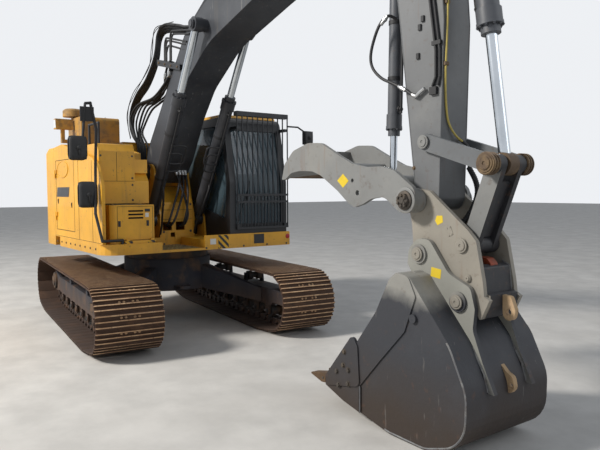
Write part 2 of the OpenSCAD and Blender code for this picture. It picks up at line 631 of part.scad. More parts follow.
seat_z = cab_floor + cab_wall + seat;
module cab_interior() color("#3b3b3b") upper() {
    block([120, cab_mid - 200, seat_z], [560, cab_mid + 200, seat_z + 260]);
    block([80, cab_mid - 240, seat_z + 250], [600, cab_mid + 240, seat_z + 400]);
    block([0, cab_mid - 230, seat_z + 300], [140, cab_mid + 230, seat_z + 1000]);
    for (side = [-1, 1])
        block([140, cab_mid + side * 320 - 70, seat_z], [700, cab_mid + side * 320 + 70, seat_z + 560]);
    translate([910, cab_mid, seat_z]) cylinder(r = 45, h = 700);
    block([860, cab_mid - 130, seat_z + 660], [960, cab_mid + 130, seat_z + 760]);
}
// Bar grille in front of the cab on brackets
guard_x = cab_front + 22;
guard_z = [1420, 1800, 1900, 3070];
guard_y = [cab_y0 + 100, cab_y1 + 10];
upper_bars = 10;
lower_bars = 15;
module front_guard() color("#17171a") upper() {
    for (z = guard_z)
        block([guard_x, guard_y[0], z], [guard_x + 22, guard_y[1], z + 30]);
    for (row = [[upper_bars, 2, 3], [lower_bars, 0, 2]])
        for (i = [0:row[0]])
            let (y = guard_y[0] + i * (guard_y[1] - guard_y[0] - 14) / row[0])
                block([guard_x + 4, y, guard_z[row[1]]], [guard_x + 18, y + 14, guard_z[row[2]] + 10]);
    block([guard_x - 70, guard_y[0], guard_z[3] - 20], [guard_x + 22, guard_y[1], guard_z[3] + 45]);
    for (y = guard_y)
        for (z = [1450, 2860])
            block([slope_x(z, 0) + seat, y - (y > cab_mid ? 60 : 0), z], [guard_x + 10, y + (y > cab_mid ? 0 : 60), z + 40]);
}

// Mirrors and rails at the right front corner, and the mirror left of the cab
module mirror_head(p, w, h) block(p - [45, w / 2, h / 2], p + [0, w / 2, h / 2]);
rail_x = 1150;
module mirrors() color("#17171a") upper() {
    mirror_head([rail_x + 20, -1680, 2515], 207, 280);
    mirror_head([rail_x + 20, -1568, 1937], 216, 304);
    bar([rail_x - 10, -1618, 2600], [rail_x - 10, -1575, 3070], 16);
    block([rail_x - 20, -1640, 2850], [rail_x, -1470, 3030]);
    tube([[front_x - 30, -1180, deck_top + seat], [front_x - 30, -1180, 1350], [front_x - 10, -1445, 1350],
        [rail_x + 80, -1505, 1700], [rail_x, -1465, 2324], [rail_x, -1446, 2753], [rail_x - 10, -1510, 3080],
        [rail_x - 10, -1580, 3070]], 18);
    mirror_head([guard_x + 90, 1745, 2780], 170, 200);
    tube([[guard_x + 11, guard_y[1] + seat, 2940], [guard_x + 11, 1600, 2940], [guard_x + 60, 1745, 2840]], 12);
}
module handrails() color("#17171a") upper() {
    rail_top = 2870;
    tube([[880, -1327, 2600 + seat], [880, -1327, rail_top], [500, -1327, rail_top], [500, -1327, 2600 + seat]], 16);
}

// Boom: a bent box with a foot boss, cylinder bosses, lugs on its back and a fork at its tip
fork_gap = arm_w + 30;
boom_side = outline(concat(
    from_pin(foot_pin, [[-150, -60, 120], [80, -150, 120], [440, 190, 400], [830, 790, 900], [1170, 1160, 700],
        [1890, 1600, 1400], [2980, 1880, 900]]),
    from_pin(arm_pin, [[-191, -197, 300], [60, -190, 100], [190, 10, 120], [50, 200, 150], [-241, 168, 300]]),
    from_pin(foot_pin, [[1780, 2120, 900], [1230, 1830, 600], [-60, 390, 300], [-160, 170, 120]])), 6);
crowd_eye_w = 100;
crowd_pin_r = 45;
module boom() color("#1a1b1f") upper() {
    difference() {
        plate(boom_w, boom_y) polygon(boom_side);
        plate(fork_gap, boom_y) translate(arm_pin) circle(r = 430);
        plate(fork_gap, boom_y) translate(arm_pin)
            polygon([[-700, 400], [-640, 0], [-380, -60], [0, 0], [200, 400]]);
        across(foot_pin_r + fit, boom_w + 2, foot_pin, boom_y);
    }
    across(arm_pin_r, boom_w + 30, arm_pin, boom_y);
    bosses(120, boom_w / 2 - 1, boom_w / 2 + 14, arm_pin, boom_y);
    bosses(80, boom_w / 2 - 1, lift_gap / 2 - lift_eye_w / 2 - clear, lift_pin, boom_y);
    pair(crowd_eye_w / 2 + clear, crowd_eye_w / 2 + clear + 40, boom_y) polygon(outline(from_pin(crowd_foot,
        [[-220, -500, 0], [230, -420, 0], [75, 60, 80], [-60, 100, 80]])));
    across(crowd_pin_r, crowd_eye_w + 2 * clear + 100, crowd_foot, boom_y);
}

// Pipes along the back of the boom in clamps, and pipes down the side of the arm
back_low = foot_pin + [1230, 1830];
back_knee = foot_pin + [1780, 2120];
back_run = arm_pin + [-241, 168] - back_knee;
back_at = [back_knee + 0.85 * (back_low - back_knee), back_knee, back_knee + 0.76 * back_run];
function lifted(p, up) = [p[0] - up * 0.25, p[1] + up * 0.97];
module boom_pipes() color("#1a1b1f") upper() {
    for (off = [-200, -150, 150, 200])
        tube([for (p = back_at) let (q = lifted(p, 52)) [q[0], boom_y + off, q[1]]], 15);
    for (part = [0.12, 0.4, 0.68])
        for (side = [-1, 1])
            along(back_knee + part * back_run, back_at[2], boom_y + side * 175)
                block([-22, -50, seat], [22, 50, 66]);
}
arm_side_y = boom_y - arm_w / 2 - 13 - seat;
module arm_pipes() color("#26262a") upper() {
    for (x = [0, 42])
        tube([for (p = [[-5, 2150], [150, 1180], [152, 975], [118 + x / 3, 905]])
            [tip_pin[0] + p[0] + x, arm_side_y, tip_pin[1] + p[1]]], 11);
    block([tip_pin[0] + 95, arm_side_y - 14, tip_pin[1] + 840], [tip_pin[0] + 165, arm_side_y + 13, tip_pin[1] + 900]);
    for (z = [1240, 1750]) along(tip_pin + [150 - 0.16 * (z - 1180), z], tip_pin + [1150, z], arm_side_y)
        block([-25, -14, -16], [65, 13, 16]);
}

// A cylinder barrel drawn from its pin along +X: bored eye, tube with a deep bore, gland
module barrel(r, rod_r, len, eye_r, eye_w, pin_r) difference() {
    union() {
        rod_x(eye_w / 2 - 2, eye_r * 0.7, eye_r + 36);
        rod_x(r, eye_r + 35, len - 150);
        rod_x(r * 1.15, len - 190, len - 60);
        rod_x(r * 0.88, len - 61, len);
        across(eye_r, eye_w, [0, 0]);
    }
    rod_x(rod_r + fit, eye_r + 60, len + 1);
    across(pin_r + fit, eye_w + 2 * r, [0, 0]);
}
// A rod drawn from its eye along +X towards the barrel
module rod(r, len, eye_r, eye_w) {
    across(eye_r, eye_w, [0, 0]);
    rod_x(r, eye_r * 0.6, len);
}
// How far each cylinder stands out as drawn, its pin distance when closed, and its gland from the foot
lift_closed = norm(lift_pin - lift_foot) - 756;
lift_gland = lift_closed - 150;
crowd_closed = norm(crowd_pin - crowd_foot) - 1058;
crowd_gland = crowd_closed - 191;
curl_closed = norm(link_pin - curl_foot) - 850;
curl_gland = curl_closed - 141;
thumb_closed = norm(thumb_pin - thumb_foot) - 257;
thumb_gland = thumb_closed - 143;
lift_rod_len = lift_closed - lift_eye_r - 80;
module lift_barrels() color("#1a1b1f") upper()
    for (side = [-1, 1]) along(lift_foot, lift_pin, boom_y + side * lift_gap / 2)
        barrel(lift_r, lift_rod_r, lift_gland, lift_eye_r, lift_eye_w, lift_pin_r);
module lift_rods() color("#c8ccd0") upper()
    for (side = [-1, 1]) along(lift_pin, lift_foot, boom_y + side * lift_gap / 2) {
        rod(lift_rod_r, lift_rod_len, lift_eye_r - 5, lift_eye_w);
        across(lift_pin_r, lift_eye_w + 40, [0, 0], side * 20);
    }

// Arm: a tapered box, with lugs for the bucket cylinder in front and the thumb cylinder behind
curl_eye_w = 100;
curl_eye_r = 85;
thumb_eye_w = 80;
thumb_eye_r = 65;
thumb_pin_r = 32;
arm_rows = concat(
    from_pin(tip_pin, [[-105, -75, 95], [125, -85, 95], [180, 8, 60], [218, 1408, 400]]),
    from_pin(arm_pin, [[420, -420, 200], [260, 300, 200]]),
    from_pin(crowd_pin, [[95, 60, 90], [-95, 70, 90]]),
    from_pin(arm_pin, [[-190, 60, 120], [-81, -607, 300]]),
    from_pin(tip_pin, [[-248, 1443, 600], [-64, 43, 200]]));
module arm() color("#55565a") upper() {
    difference() {
        plate(arm_w, boom_y) polygon(outline(arm_rows));
        plate(2 * 55 + 2 * clear, boom_y) translate(crowd_pin) circle(r = 330);
        across(arm_pin_r + fit, arm_w + 2, arm_pin, boom_y);
    }
    across(tip_pin_r, 2 * thumb_out + 30, tip_pin, boom_y);
    across(link_pin_r, 2 * coupler_out + 40, link_pin_arm, boom_y);
    bosses(70, arm_w / 2 - 1, coupler_in - 1, link_pin_arm, boom_y);
    pair(curl_eye_w / 2 + clear, curl_eye_w / 2 + clear + 40, boom_y) polygon(outline(from_pin(curl_foot,
        [[-351, -177, 0], [-10, -80, 80], [90, 0, 80], [-10, 95, 85], [-361, 323, 0]])));
    across(link_pin_r, curl_eye_w + 2 * clear + 100, curl_foot, boom_y);
    pair(thumb_eye_w / 2 + clear, thumb_eye_w / 2 + clear + 30, boom_y) polygon(outline(from_pin(thumb_foot,
        [[168, -107, 0], [168, 183, 0], [-20, 75, 60], [-75, -10, 60], [10, -72, 60]])));
    across(thumb_pin_r, thumb_eye_w + 2 * clear + 80, thumb_foot, boom_y);
}
crowd_eye_r = 90;
module crowd_barrel() color("#1a1b1f") upper() along(crowd_foot, crowd_pin, boom_y)
    barrel(85, 55, crowd_gland, crowd_eye_r, crowd_eye_w, crowd_pin_r);
module crowd_rod() color("#c8ccd0") upper() along(crowd_pin, crowd_foot, boom_y)
    rod(55, crowd_closed - crowd_eye_r - 80, crowd_eye_r, 110);
module curl_barrel() color("#3f4044") upper() along(curl_foot, link_pin, boom_y)
    barrel(85, 45, curl_gland, curl_eye_r, curl_eye_w, link_pin_r);
module curl_rod() color("#c8ccd0") upper() along(link_pin, curl_foot, boom_y)
    rod(45, curl_closed - curl_eye_r - 80, curl_eye_r, 110);

module link_bar(p, q, r, w, y) plate(w, y) hull() {
    translate(p) circle(r = r, $fn = 32);
    translate(q) circle(r = r, $fn = 32);
}
link_in = coupler_in - 0.5;
link_w = 45;
module side_links() color("#6a6b6e") upper() {
    difference() {
        for (side = [-1, 1]) link_bar(link_pin_arm, link_pin, 66, link_w, boom_y + side * (link_in + link_w / 2));
        across(link_pin_r + fit, 2 * coupler_out + 20, link_pin_arm, boom_y);
    }
    bosses(78, link_in, link_in + link_w + 36, link_pin, boom_y);
}
cheek_in = 75;
cheek_w = 50;
module bucket_link() color("#6a6b6e") upper() difference() {
    union() {
        for (side = [-1, 1])
            link_bar(link_pin, coupler_link_pin, 72, cheek_w, boom_y + side * (cheek_in + cheek_w / 2));
        across(70, 2 * coupler_in - 12, coupler_link_pin, boom_y);
        plate(2 * cheek_in + 2, boom_y) polygon([link_pin + [-101, -120], link_pin + [-8, -130],
            coupler_link_pin + [52, 60], coupler_link_pin + [-48, 60]]);
        bosses(72, cheek_in, link_in - clear, link_pin, boom_y);
    }
    across(link_pin_r + fit, 2 * coupler_in, coupler_link_pin, boom_y);
}

// Coupler: two plates with a jaw for each bucket pin, joined by a tube, a block and the link pin
jaw_r = bucket_pin_r + seat;
coupler_rows = from_pin(tip_pin, [[-105, -20, 95], [-50, 105, 95], [125, 75, 80], [508, -222, 70],
    [585, -300, 40], [650, -600, 40], [663, -704, 0], [709, -730, 0], [630, -895, 12], [575, -800, 20],
    [480, -790, 0], [405, -760, 0], [330, -620, 60], [230, -540, 60], [120, -530, 40], [20, -525, 30],
    [-40, -480, 0], [-45, -370, 40], [-60, -200, 80]]);
module coupler() color("#6a6b6e") upper() {
    difference() {
        pair(coupler_in, coupler_out, boom_y) polygon(outline(coupler_rows));
        across(tip_pin_r + fit, 600, tip_pin, boom_y);
        across(jaw_r, 600, front_pin, boom_y);
        block([front_pin[0] - 200, -500, front_pin[1] - jaw_r], [front_pin[0], 500, front_pin[1] + jaw_r]);
        across(jaw_r, 600, rear_pin, boom_y);
        block([rear_pin[0] - jaw_r, -500, rear_pin[1] - 200], [rear_pin[0] + jaw_r, 500, rear_pin[1]]);
    }
    across(link_pin_r, 2 * coupler_out + 24, coupler_link_pin, boom_y);
    across(55, 2 * coupler_in + 2, tip_pin + [130, -300], boom_y);
    bosses(30, coupler_out - 1, coupler_out + 10, tip_pin + [520, -583], boom_y);
    // Cross block that carries the rear jaw, and the latch box behind it
    plate(2 * coupler_in + 2, boom_y) polygon(outline(from_pin(tip_pin, [[548, -470, 20], [618, -500, 20],
        [640, -690, 0], [560, -690, 20]])));
    plate(2 * coupler_in + 2, boom_y) polygon(outline(from_pin(tip_pin, [[558, -689, 0], [660, -689, 0],
        [690, -700, 0], [690, -780, 0], [640, -885, 10], [600, -840, 10], [572, -780, 10]])));
}

// Bucket: shell, side plates, ears with two pins, lip plate and side cutters
bucket_rows = from_pin(front_pin, [[-905, -1247, 0], [-660, -1332, 200], [-110, -1452, 400],
    [290, -1462, 300], [675, -1332, 280], [682, -942, 300], [530, -632, 350], [112, -154, 60],
    [-10, -130, 50], [-90, -192, 30], [-251, -489, 200], [-494, -794, 150], [-898, -1162, 20]]);
mouth = [for (m = [[-1010, -1200], [-898, -1206], [-455, -850], [-35, -240], [-210, 38], [-1210, -562]])
    front_pin + m];
// Doubling plate along the front of each side, and the cutter on top of it
band_rows = from_pin(front_pin, [[-905, -1247, 0], [-660, -1332, 200], [-455, -1376, 0],
    [-455, -1160, 60], [-200, -880, 60], [75, -590, 40], [190, -300, 40], [112, -154, 60],
    [-10, -130, 50], [-90, -192, 30], [-251, -489, 200], [-494, -794, 150], [-898, -1162, 20]]);
cutter_rows = from_pin(front_pin, [[-898, -1162, 20], [-524, -717, 40], [-460, -812, 40],
    [-435, -1151, 60], [-865, -1240, 20]]);
ear_rows = from_pin(tip_pin, [[-70, -600, 0], [-52, -400, 85], [40, -305, 110], [170, -310, 90],
    [366, -560, 150], [575, -646, 70], [618, -800, 80], [600, -959, 120], [690, -1180, 200],
    [800, -1400, 0], [700, -1400, 0], [260, -900, 0], [0, -700, 0]]);
module bucket_cavity() plate(bucket_w - 2 * side_t, boom_y) {
    polygon(outline(shrink(bucket_rows, shell_t), 6));
    polygon(mouth);
}
module bucket() color("#4a4541") upper() {
    difference() {
        union() {
            plate(bucket_w, boom_y) polygon(outline(bucket_rows, 6));
            pair(ear_in, ear_out, boom_y) polygon(outline(ear_rows));
            bosses(78, ear_out - 1, ear_out + 18, front_pin, boom_y);
            bosses(78, ear_out - 1, ear_out + 18, rear_pin, boom_y);
        }
        bucket_cavity();
    }
    across(bucket_pin_r, 2 * ear_out + 60, front_pin, boom_y);
    across(bucket_pin_r, 2 * ear_out + 60, rear_pin, boom_y);
    pair(bucket_w / 2 - 2, bucket_w / 2 + 12, boom_y) polygon(outline(band_rows));
    pair(bucket_w / 2 - 2, bucket_w / 2 + 24, boom_y) polygon(outline(cutter_rows));
    // Tube under the ears and a round lug on each side
    across(58, 2 * ear_out + 200, front_pin + [20, -190], boom_y);
    bosses(34, bucket_w / 2 - 1, bucket_w / 2 + 22, front_pin + [168, -470], boom_y);
}
module bucket_teeth() color("#6d5a48") upper() for (i = [0:tooth_count - 1])
    plate(80, boom_y + (i - (tooth_count - 1) / 2) * (bucket_w - 130) / (tooth_count - 1))
        translate(front_pin) polygon([[-905.3, -1247], [-899.8, -1180], [-1010, -1166], [-1165, -1200],
            [-1170, -1214], [-1010, -1257]]);
// A lug with a shackle hole behind the coupler, and a lifting hook on the back of the bucket
eye_bore_r = 25;
eye_t = 40;
eye_at = front_pin + [672, -399];
module bucket_eyes() color("#8a6a48") upper() {
    difference() {
        plate(eye_t, boom_y) polygon(outline(from_pin(eye_at, [[-50 + seat, 125, 0], [20, 120, 30],
            [62, 20, 50], [45, -62, 50], [-45, -62, 50], [-50 + seat, 49, 0]])));
        across(eye_bore_r, eye_t + 2, eye_at, boom_y);
    }
    difference() {
        plate(eye_t, boom_y) polygon(outline(from_pin(front_pin, [[560, -800, 0], [600, -790, 15], [660, -850, 60],
            [720, -880, 40], [738, -960, 45], [700, -1010, 30], [670, -1000, 20], [600, -980, 0]])));
        plate(eye_t + 2, boom_y) polygon(outline(bucket_rows, 6));
        across(20, eye_t + 2, front_pin + [700, -945], boom_y);
    }
}

// Thumb: two plates on the tip pin, a tube for its cylinder and a box at its tip
thumb_rows = from_pin(tip_pin, [[-1757, 192, 12], [-1705, 350, 60], [-1556, 478, 150], [-1309, 541, 250],
    [-1111, 530, 200], [-832, 395, 300], [-657, 318, 200], [-491, 284, 200], [-281, 282, 150],
    [-133, 242, 150], [95, 90, 95], [100, -95, 90], [-80, -95, 60], [-256, 30, 150], [-411, 10, 150],
    [-519, -38, 100], [-630, -68, 40], [-716, -27, 60], [-863, 81, 200], [-1112, 226, 200],
    [-1243, 267, 150], [-1450, 277, 200], [-1594, 259, 150], [-1687, 199, 30]]);
module thumb() color("#6a6b6e") upper() {
    difference() {
        union() {
            pair(thumb_in, thumb_out, boom_y) polygon(outline(thumb_rows));
            bosses(100, coupler_out + plate_gap, thumb_in + 1, tip_pin, boom_y);
        }
        across(tip_pin_r + fit, 800, tip_pin, boom_y);
        across(24, 800, tip_pin + [-588, 61], boom_y);
        across(18, 800, tip_pin + [-655, 170], boom_y);
    }
    bosses(52, thumb_eye_w / 2 + clear, thumb_in + 1, thumb_pin, boom_y);
    plate(2 * thumb_in + 2, boom_y) polygon(outline(from_pin(tip_pin, [[-1735, 210, 0], [-1600, 275, 0],
        [-1450, 295, 0], [-1420, 480, 0], [-1540, 450, 0], [-1690, 340, 0]])));
    across(50, 2 * thumb_in + 2, tip_pin + [-930, 290], boom_y);
}
module thumb_barrel() color("#3f4044") upper() along(thumb_foot, thumb_pin, boom_y)
    barrel(60, 32, thumb_gland, thumb_eye_r, thumb_eye_w, thumb_pin_r);
module thumb_rod() color("#c8ccd0") upper() along(thumb_pin, thumb_foot, boom_y)
    rod(32, thumb_closed - thumb_eye_r - 80, 60, thumb_eye_w);

centre_frame();
track_frames();
track_right();
track_left();
drives();
wheels();
swing_ring();
tow_eyes();
main_frame();
counterweight();
right_housing();
right_door();
left_housing();
left_door();
engine_hood();
engine();
fuel_tank();
tool_box();
roof_fittings();
cab_shell();
cab_roof();
cab_door();
cab_glass();
door_glass();
cab_interior();
front_guard();
mirrors();
handrails();
boom();
boom_pipes();
lift_barrels();
lift_rods();
arm();
arm_pipes();
crowd_barrel();
crowd_rod();
curl_barrel();
curl_rod();
side_links();
bucket_link();
coupler();
bucket();
bucket_teeth();
bucket_eyes();
thumb();
thumb_barrel();
thumb_rod();
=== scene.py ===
import bmesh
import bpy
import math
import random
from mathutils import Matrix, Vector


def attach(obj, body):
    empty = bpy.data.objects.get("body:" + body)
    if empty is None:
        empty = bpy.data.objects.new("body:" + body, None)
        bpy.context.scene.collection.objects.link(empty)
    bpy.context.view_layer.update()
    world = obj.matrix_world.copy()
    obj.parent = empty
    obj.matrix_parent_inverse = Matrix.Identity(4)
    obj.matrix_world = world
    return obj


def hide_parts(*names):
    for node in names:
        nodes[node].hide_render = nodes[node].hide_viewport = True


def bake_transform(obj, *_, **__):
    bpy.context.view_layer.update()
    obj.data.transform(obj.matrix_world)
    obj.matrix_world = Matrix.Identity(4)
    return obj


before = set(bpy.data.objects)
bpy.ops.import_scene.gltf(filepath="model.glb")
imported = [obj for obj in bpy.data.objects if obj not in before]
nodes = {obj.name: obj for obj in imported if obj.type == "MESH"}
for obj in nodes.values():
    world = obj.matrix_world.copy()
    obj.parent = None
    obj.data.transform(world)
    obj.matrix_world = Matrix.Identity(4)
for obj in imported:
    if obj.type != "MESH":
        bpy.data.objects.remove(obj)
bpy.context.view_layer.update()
random.seed(7)

# Forward distance from the middle of the frame to the swing axis, and the angle of the tracks
MID = 1903.02
SWING = math.radians(6)
SIDES = (-1, 1)
FRONT, RIGHT, LEFT, TOP = Vector((1, 0, 0)), Vector((0, -1, 0)), Vector((0, 1, 0)), Vector((0, 0, 1))


def up(x, y, z):
    """A point of the upper structure in millimetres, as a point of the frame in metres."""
    return Vector(((x - MID) / 1000, y / 1000, z / 1000))


def down(x, y, z):
    """A point of the undercarriage in millimetres, as a point of the frame in metres."""
    c, s = math.cos(SWING), math.sin(SWING)
    return Vector(((x * c + y * s - MID) / 1000, (y * c - x * s) / 1000, z / 1000))


def spot(p):
    """A Vector in metres as it is, and a tuple in millimetres as a point of the upper structure."""
    return p if isinstance(p, Vector) else up(*p)


# Materials
def rgb(text, gain=1.0, lift=0.0):
    """A colour as linear values, made brighter or darker by gain and lift."""
    parts = [int(text[i:i + 2], 16) / 255 for i in (1, 3, 5)]
    linear = [p / 12.92 if p <= 0.04045 else ((p + 0.055) / 1.055) ** 2.4 for p in parts]
    return [min(1, p * gain + lift) for p in linear] + [1.0]


def adder(tree):
    """Empties a node tree and gives a function that adds a node with its settings and inputs."""
    tree.nodes.clear()

    def add(kind, inputs, **settings):
        node = tree.nodes.new("ShaderNode" + kind)
        for key, value in settings.items():
            setattr(node, key, value)
        for key, value in inputs.items():
            if isinstance(value, bpy.types.NodeSocket):
                tree.links.new(value, node.inputs[key])
            else:
                node.inputs[key].default_value = value
        return node

    return add


def new_material(name):
    """A material, the function that adds its nodes, and its coordinates."""
    mat = bpy.data.materials.new(name)
    mat.use_nodes = True
    add = adder(mat.node_tree)
    return mat, add, add("TexCoord", {}).outputs["Object"]


# Detail and stretch of the noise behind each kind of layer
NOISES = {"noise": (5.0, (1, 1, 1)), "fine": (9.0, (1, 1, 1)), "scratch": (3.0, (1, 1, 0.12)),
          "drip": (4.0, (6, 6, 0.5))}


def surface(name, base, *layers, rough=(0.4, 0.6), metal=0.0, bump=0.15, grain=90.0, coat=0.0):
    """The base colour, with layers of (kind, colour, scale, strength, start, end) over it.
    kind is noise, fine, scratch, drip, low (below a height) or stripe (slanting, as wide as scale).
    A layer may leave out its last values, which are then 0.5, 0.5 and 0.7."""
    mat, add, position = new_material(name)

    def noise(scale, detail=6.0, stretch=(1, 1, 1)):
        place = add("Mapping", {"Vector": position, "Scale": stretch}).outputs[0]
        look = {"Vector": place, "Scale": scale, "Detail": detail, "Roughness": 0.6}
        return add("TexNoise", look).outputs["Fac"]

    def ramp(value, start, end):
        return add("MapRange", {"Value": value, "From Min": start, "From Max": end}).outputs[0]

    def maths(kind, a, b):
        return add("Math", {0: a, 1: b}, operation=kind).outputs[0]

    def mixed(factor, a, b):
        return add("Mix", {"Factor": factor, "A": a, "B": b}, data_type="RGBA").outputs["Result"]

    colour = mixed(ramp(noise(1.7), 0.35, 0.65), rgb(base, 0.88), rgb(base, 1.1))
    for kind, tint, scale, *rest in layers:
        strength, start, end = rest + [0.5, 0.5, 0.7][len(rest):]
        if kind == "low":
            height = add("SeparateXYZ", {0: position}).outputs["Z"]
            value = ramp(maths("ADD", height, maths("MULTIPLY", noise(scale), 0.5)), start, end)
        elif kind == "stripe":
            split = add("SeparateXYZ", {0: position}).outputs
            wave = maths("PINGPONG", maths("ADD", split["Y"], split["Z"]), scale)
            value = maths("GREATER_THAN", wave, scale / 2)
        else:
            value = ramp(noise(scale, *NOISES[kind]), start, end)
        colour = mixed(maths("MULTIPLY", value, strength), colour, rgb(tint))
    gloss = add("MapRange", {"Value": noise(5.0), "To Min": rough[0], "To Max": rough[1]})
    inputs = {"Base Color": colour, "Roughness": gloss.outputs[0], "Metallic": metal, "Coat Weight": coat}
    if bump:
        dents = add("Bump", {"Strength": bump, "Distance": 0.004, "Height": noise(grain, 4.0)})
        inputs["Normal"] = dents.outputs[0]
    add("OutputMaterial", {0: add("BsdfPrincipled", inputs).outputs[0]})
    return mat


def glass_material(name, tint):
    mat, add, position = new_material(name)
    cloud = add("TexNoise", {"Vector": position, "Scale": 2.2, "Detail": 6.0}).outputs["Fac"]
    mix = add("Mix", {"Factor": cloud, "A": rgb(tint), "B": rgb(tint, 1.3, 0.02)}, data_type="RGBA")
    shader = add("BsdfPrincipled", {"Base Color": mix.outputs["Result"], "Roughness": 0.08,
                                    "Transmission Weight": 0.5, "IOR": 1.45})
    add("OutputMaterial", {0: shader.outputs[0]})
    return mat


MUD = "#6e5238"
RUST_RUNS = ("drip", "#7a5236", 2.4, 0.45, 0.6, 0.78)
yellow = surface("yellow_paint", "#dfa52f", ("noise", "#b9822a", 2.3, 0.35, 0.5, 0.75),
    ("drip", "#8a6a3c", 1.6, 0.35, 0.56, 0.74), ("low", "#7b5b3a", 2, 0.45, 1.55, 1.2),
    ("fine", "#5a4a3a", 26, 0.5, 0.62, 0.7), rough=(0.38, 0.55), bump=0.05, coat=0.15)
frame_dark = surface("frame_dark", "#23252e", ("noise", MUD, 3, 0.6, 0.55, 0.72),
    ("low", MUD, 2.4, 0.7, 0.9, 0.25), rough=(0.6, 0.85), bump=0.5, grain=45)
# Track steel: dark rust, darker towards the bottom, and kept dark as painted shade on the bars' faces. The
# lighter worn steel of the tips and bolts is also a painted highlight.
track_rust_and_shade = surface("track_rust_and_shade", "#463022", ("noise", "#6e503a", 4, 0.5, 0.5, 0.68),
    ("fine", "#3d2c22", 14, 0.6, 0.52, 0.66), ("low", "#33261f", 2, 0.75, 0.75, 0.25), rough=(0.65, 0.9),
    bump=0.7, grain=40)
track_worn_and_lit = surface("track_worn_and_lit", "#a98766", ("noise", "#cfae88", 9, 0.7, 0.45, 0.62),
    ("fine", "#4a3729", 30, 0.6, 0.55, 0.66), rough=(0.45, 0.7), metal=0.2, bump=0.4)
chain_iron = surface("chain_iron", "#3b2c24", ("noise", "#6b4d38", 6, 0.7, 0.5, 0.66),
    ("fine", "#1f1a18", 18, 0.7, 0.5, 0.64), rough=(0.55, 0.85), bump=0.5, grain=45)
wheel_iron = surface("wheel_iron", "#33302f", ("noise", MUD, 5, 0.7, 0.45, 0.62), rough=(0.6, 0.85),
    bump=0.5, grain=50)
boom_grey = surface("boom_grey", "#34373d", ("noise", "#4b4e53", 1.4),
    ("drip", "#5d584f", 2, 0.35, 0.58, 0.75), ("scratch", "#8b8a86", 22, 0.4, 0.66, 0.72), bump=0.08)
arm_grey = surface("arm_grey", "#6a6c6e", ("noise", "#7f807f", 1.9),
    ("fine", "#5b4e45", 20, 0.5, 0.6, 0.72), ("drip", "#6b4a36", 2.6, 0.4, 0.62, 0.76), rough=(0.45, 0.65),
    bump=0.12)
tool_grey = surface("tool_grey", "#7e7f7e", ("noise", "#8f8d87", 2.3),
    ("fine", "#5d5048", 16, 0.55, 0.58, 0.72), RUST_RUNS, rough=(0.45, 0.7))
coupler_grey = surface("coupler_grey", "#8f8a80", ("noise", "#a19a8d", 2.6),
    ("fine", "#6a5c50", 16, 0.5, 0.58, 0.72), RUST_RUNS, ("low", "#5d584f", 2, 0.6, 1.4, 1.15),
    rough=(0.45, 0.7))
bar_grey = surface("bar_grey", "#64676a", ("noise", "#777977", 2.3),
    ("fine", "#54493f", 16, 0.5, 0.58, 0.72), rough=(0.42, 0.62), bump=0.1)
lift_grey = surface("lift_grey", "#2c2e33", ("noise", "#45474b", 2.4),
    ("fine", "#5d5044", 18, 0.5, 0.62, 0.74), rough=(0.38, 0.55), bump=0.06)
# Browner, darker yellow: dust and painted shade, for the roof fittings, the top of the right housing and the
# hood's top faces.
dust_and_shade_yellow = surface("dust_and_shade_yellow", "#b98a3c", ("noise", "#8f7450", 3, 0.8, 0.42, 0.62),
    ("fine", "#5f4f3c", 12, 0.6, 0.5, 0.68), rough=(0.5, 0.7), bump=0.1)
# Bucket paint with rust specks and scratches. Lower down it turns dark blue-grey, a painted shadow of the
# arm, and lowest it turns dark brown.
bucket_grey_shadowed = surface("bucket_grey_shadowed", "#8b8a85", ("noise", "#a19d94", 3),
    ("fine", "#8a6748", 5, 0.5, 0.6, 0.72), ("low", "#303238", 1.6, 1, 1.44, 1.3),
    ("noise", "#47494f", 2.2, 0.3, 0.52, 0.7), ("low", "#35291f", 2.2, 0.85, 0.95, 0.4),
    ("fine", "#5a4030", 9, 0.6, 0.6, 0.74), ("scratch", "#7d7a76", 30, 0.35, 0.68, 0.73), rough=(0.5, 0.75),
    bump=0.35, grain=30)
tooth_metal = surface("tooth_metal", "#57432f", ("noise", "#7d644a", 7, 0.6, 0.45, 0.65),
    ("fine", "#4c3a2e", 24, 0.6, 0.5, 0.66), rough=(0.5, 0.7), metal=0.25, bump=0.3)
chrome = surface("chrome", "#c3c9cf", ("noise", "#9fa6ad", 6, 0.4), rough=(0.14, 0.24), metal=1, bump=0)
cylinder_grey = surface("cylinder_grey", "#4b4e54", ("noise", "#5f6164", 2.4),
    ("fine", "#6d5b4a", 18, 0.5, 0.62, 0.74), rough=(0.38, 0.55), bump=0.06)
cab_black = surface("cab_black", "#1d1f23", ("noise", "#34363a", 2, 0.5, 0.5, 0.72),
    ("fine", "#5a4f43", 16, 0.35, 0.66, 0.78), bump=0.06)
rubber = surface("rubber", "#17181b", ("noise", "#37363a", 9, 0.5, 0.5, 0.75), rough=(0.5, 0.7), bump=0.1)
plastic = surface("plastic", "#2b2b2e", ("noise", "#3d3c3e", 3), rough=(0.5, 0.7), bump=0.12)
mirror_face = surface("mirror_face", "#aab4bd", ("noise", "#8f99a3", 3, 0.3, 0.5, 0.8), rough=(0.03, 0.07),
    metal=1, bump=0)
bare = surface("bare_steel", "#b9bbbd", ("noise", "#8d8a85", 9, 0.5, 0.45, 0.65), rough=(0.25, 0.4),
    metal=0.9, bump=0.05)
pin_dark = surface("pin_dark", "#4a443e", ("noise", "#6e5f4c", 9, 0.6, 0.5, 0.68),
    ("fine", "#29241f", 24, 0.7, 0.52, 0.68), rough=(0.5, 0.75), metal=0.2, bump=0.35)
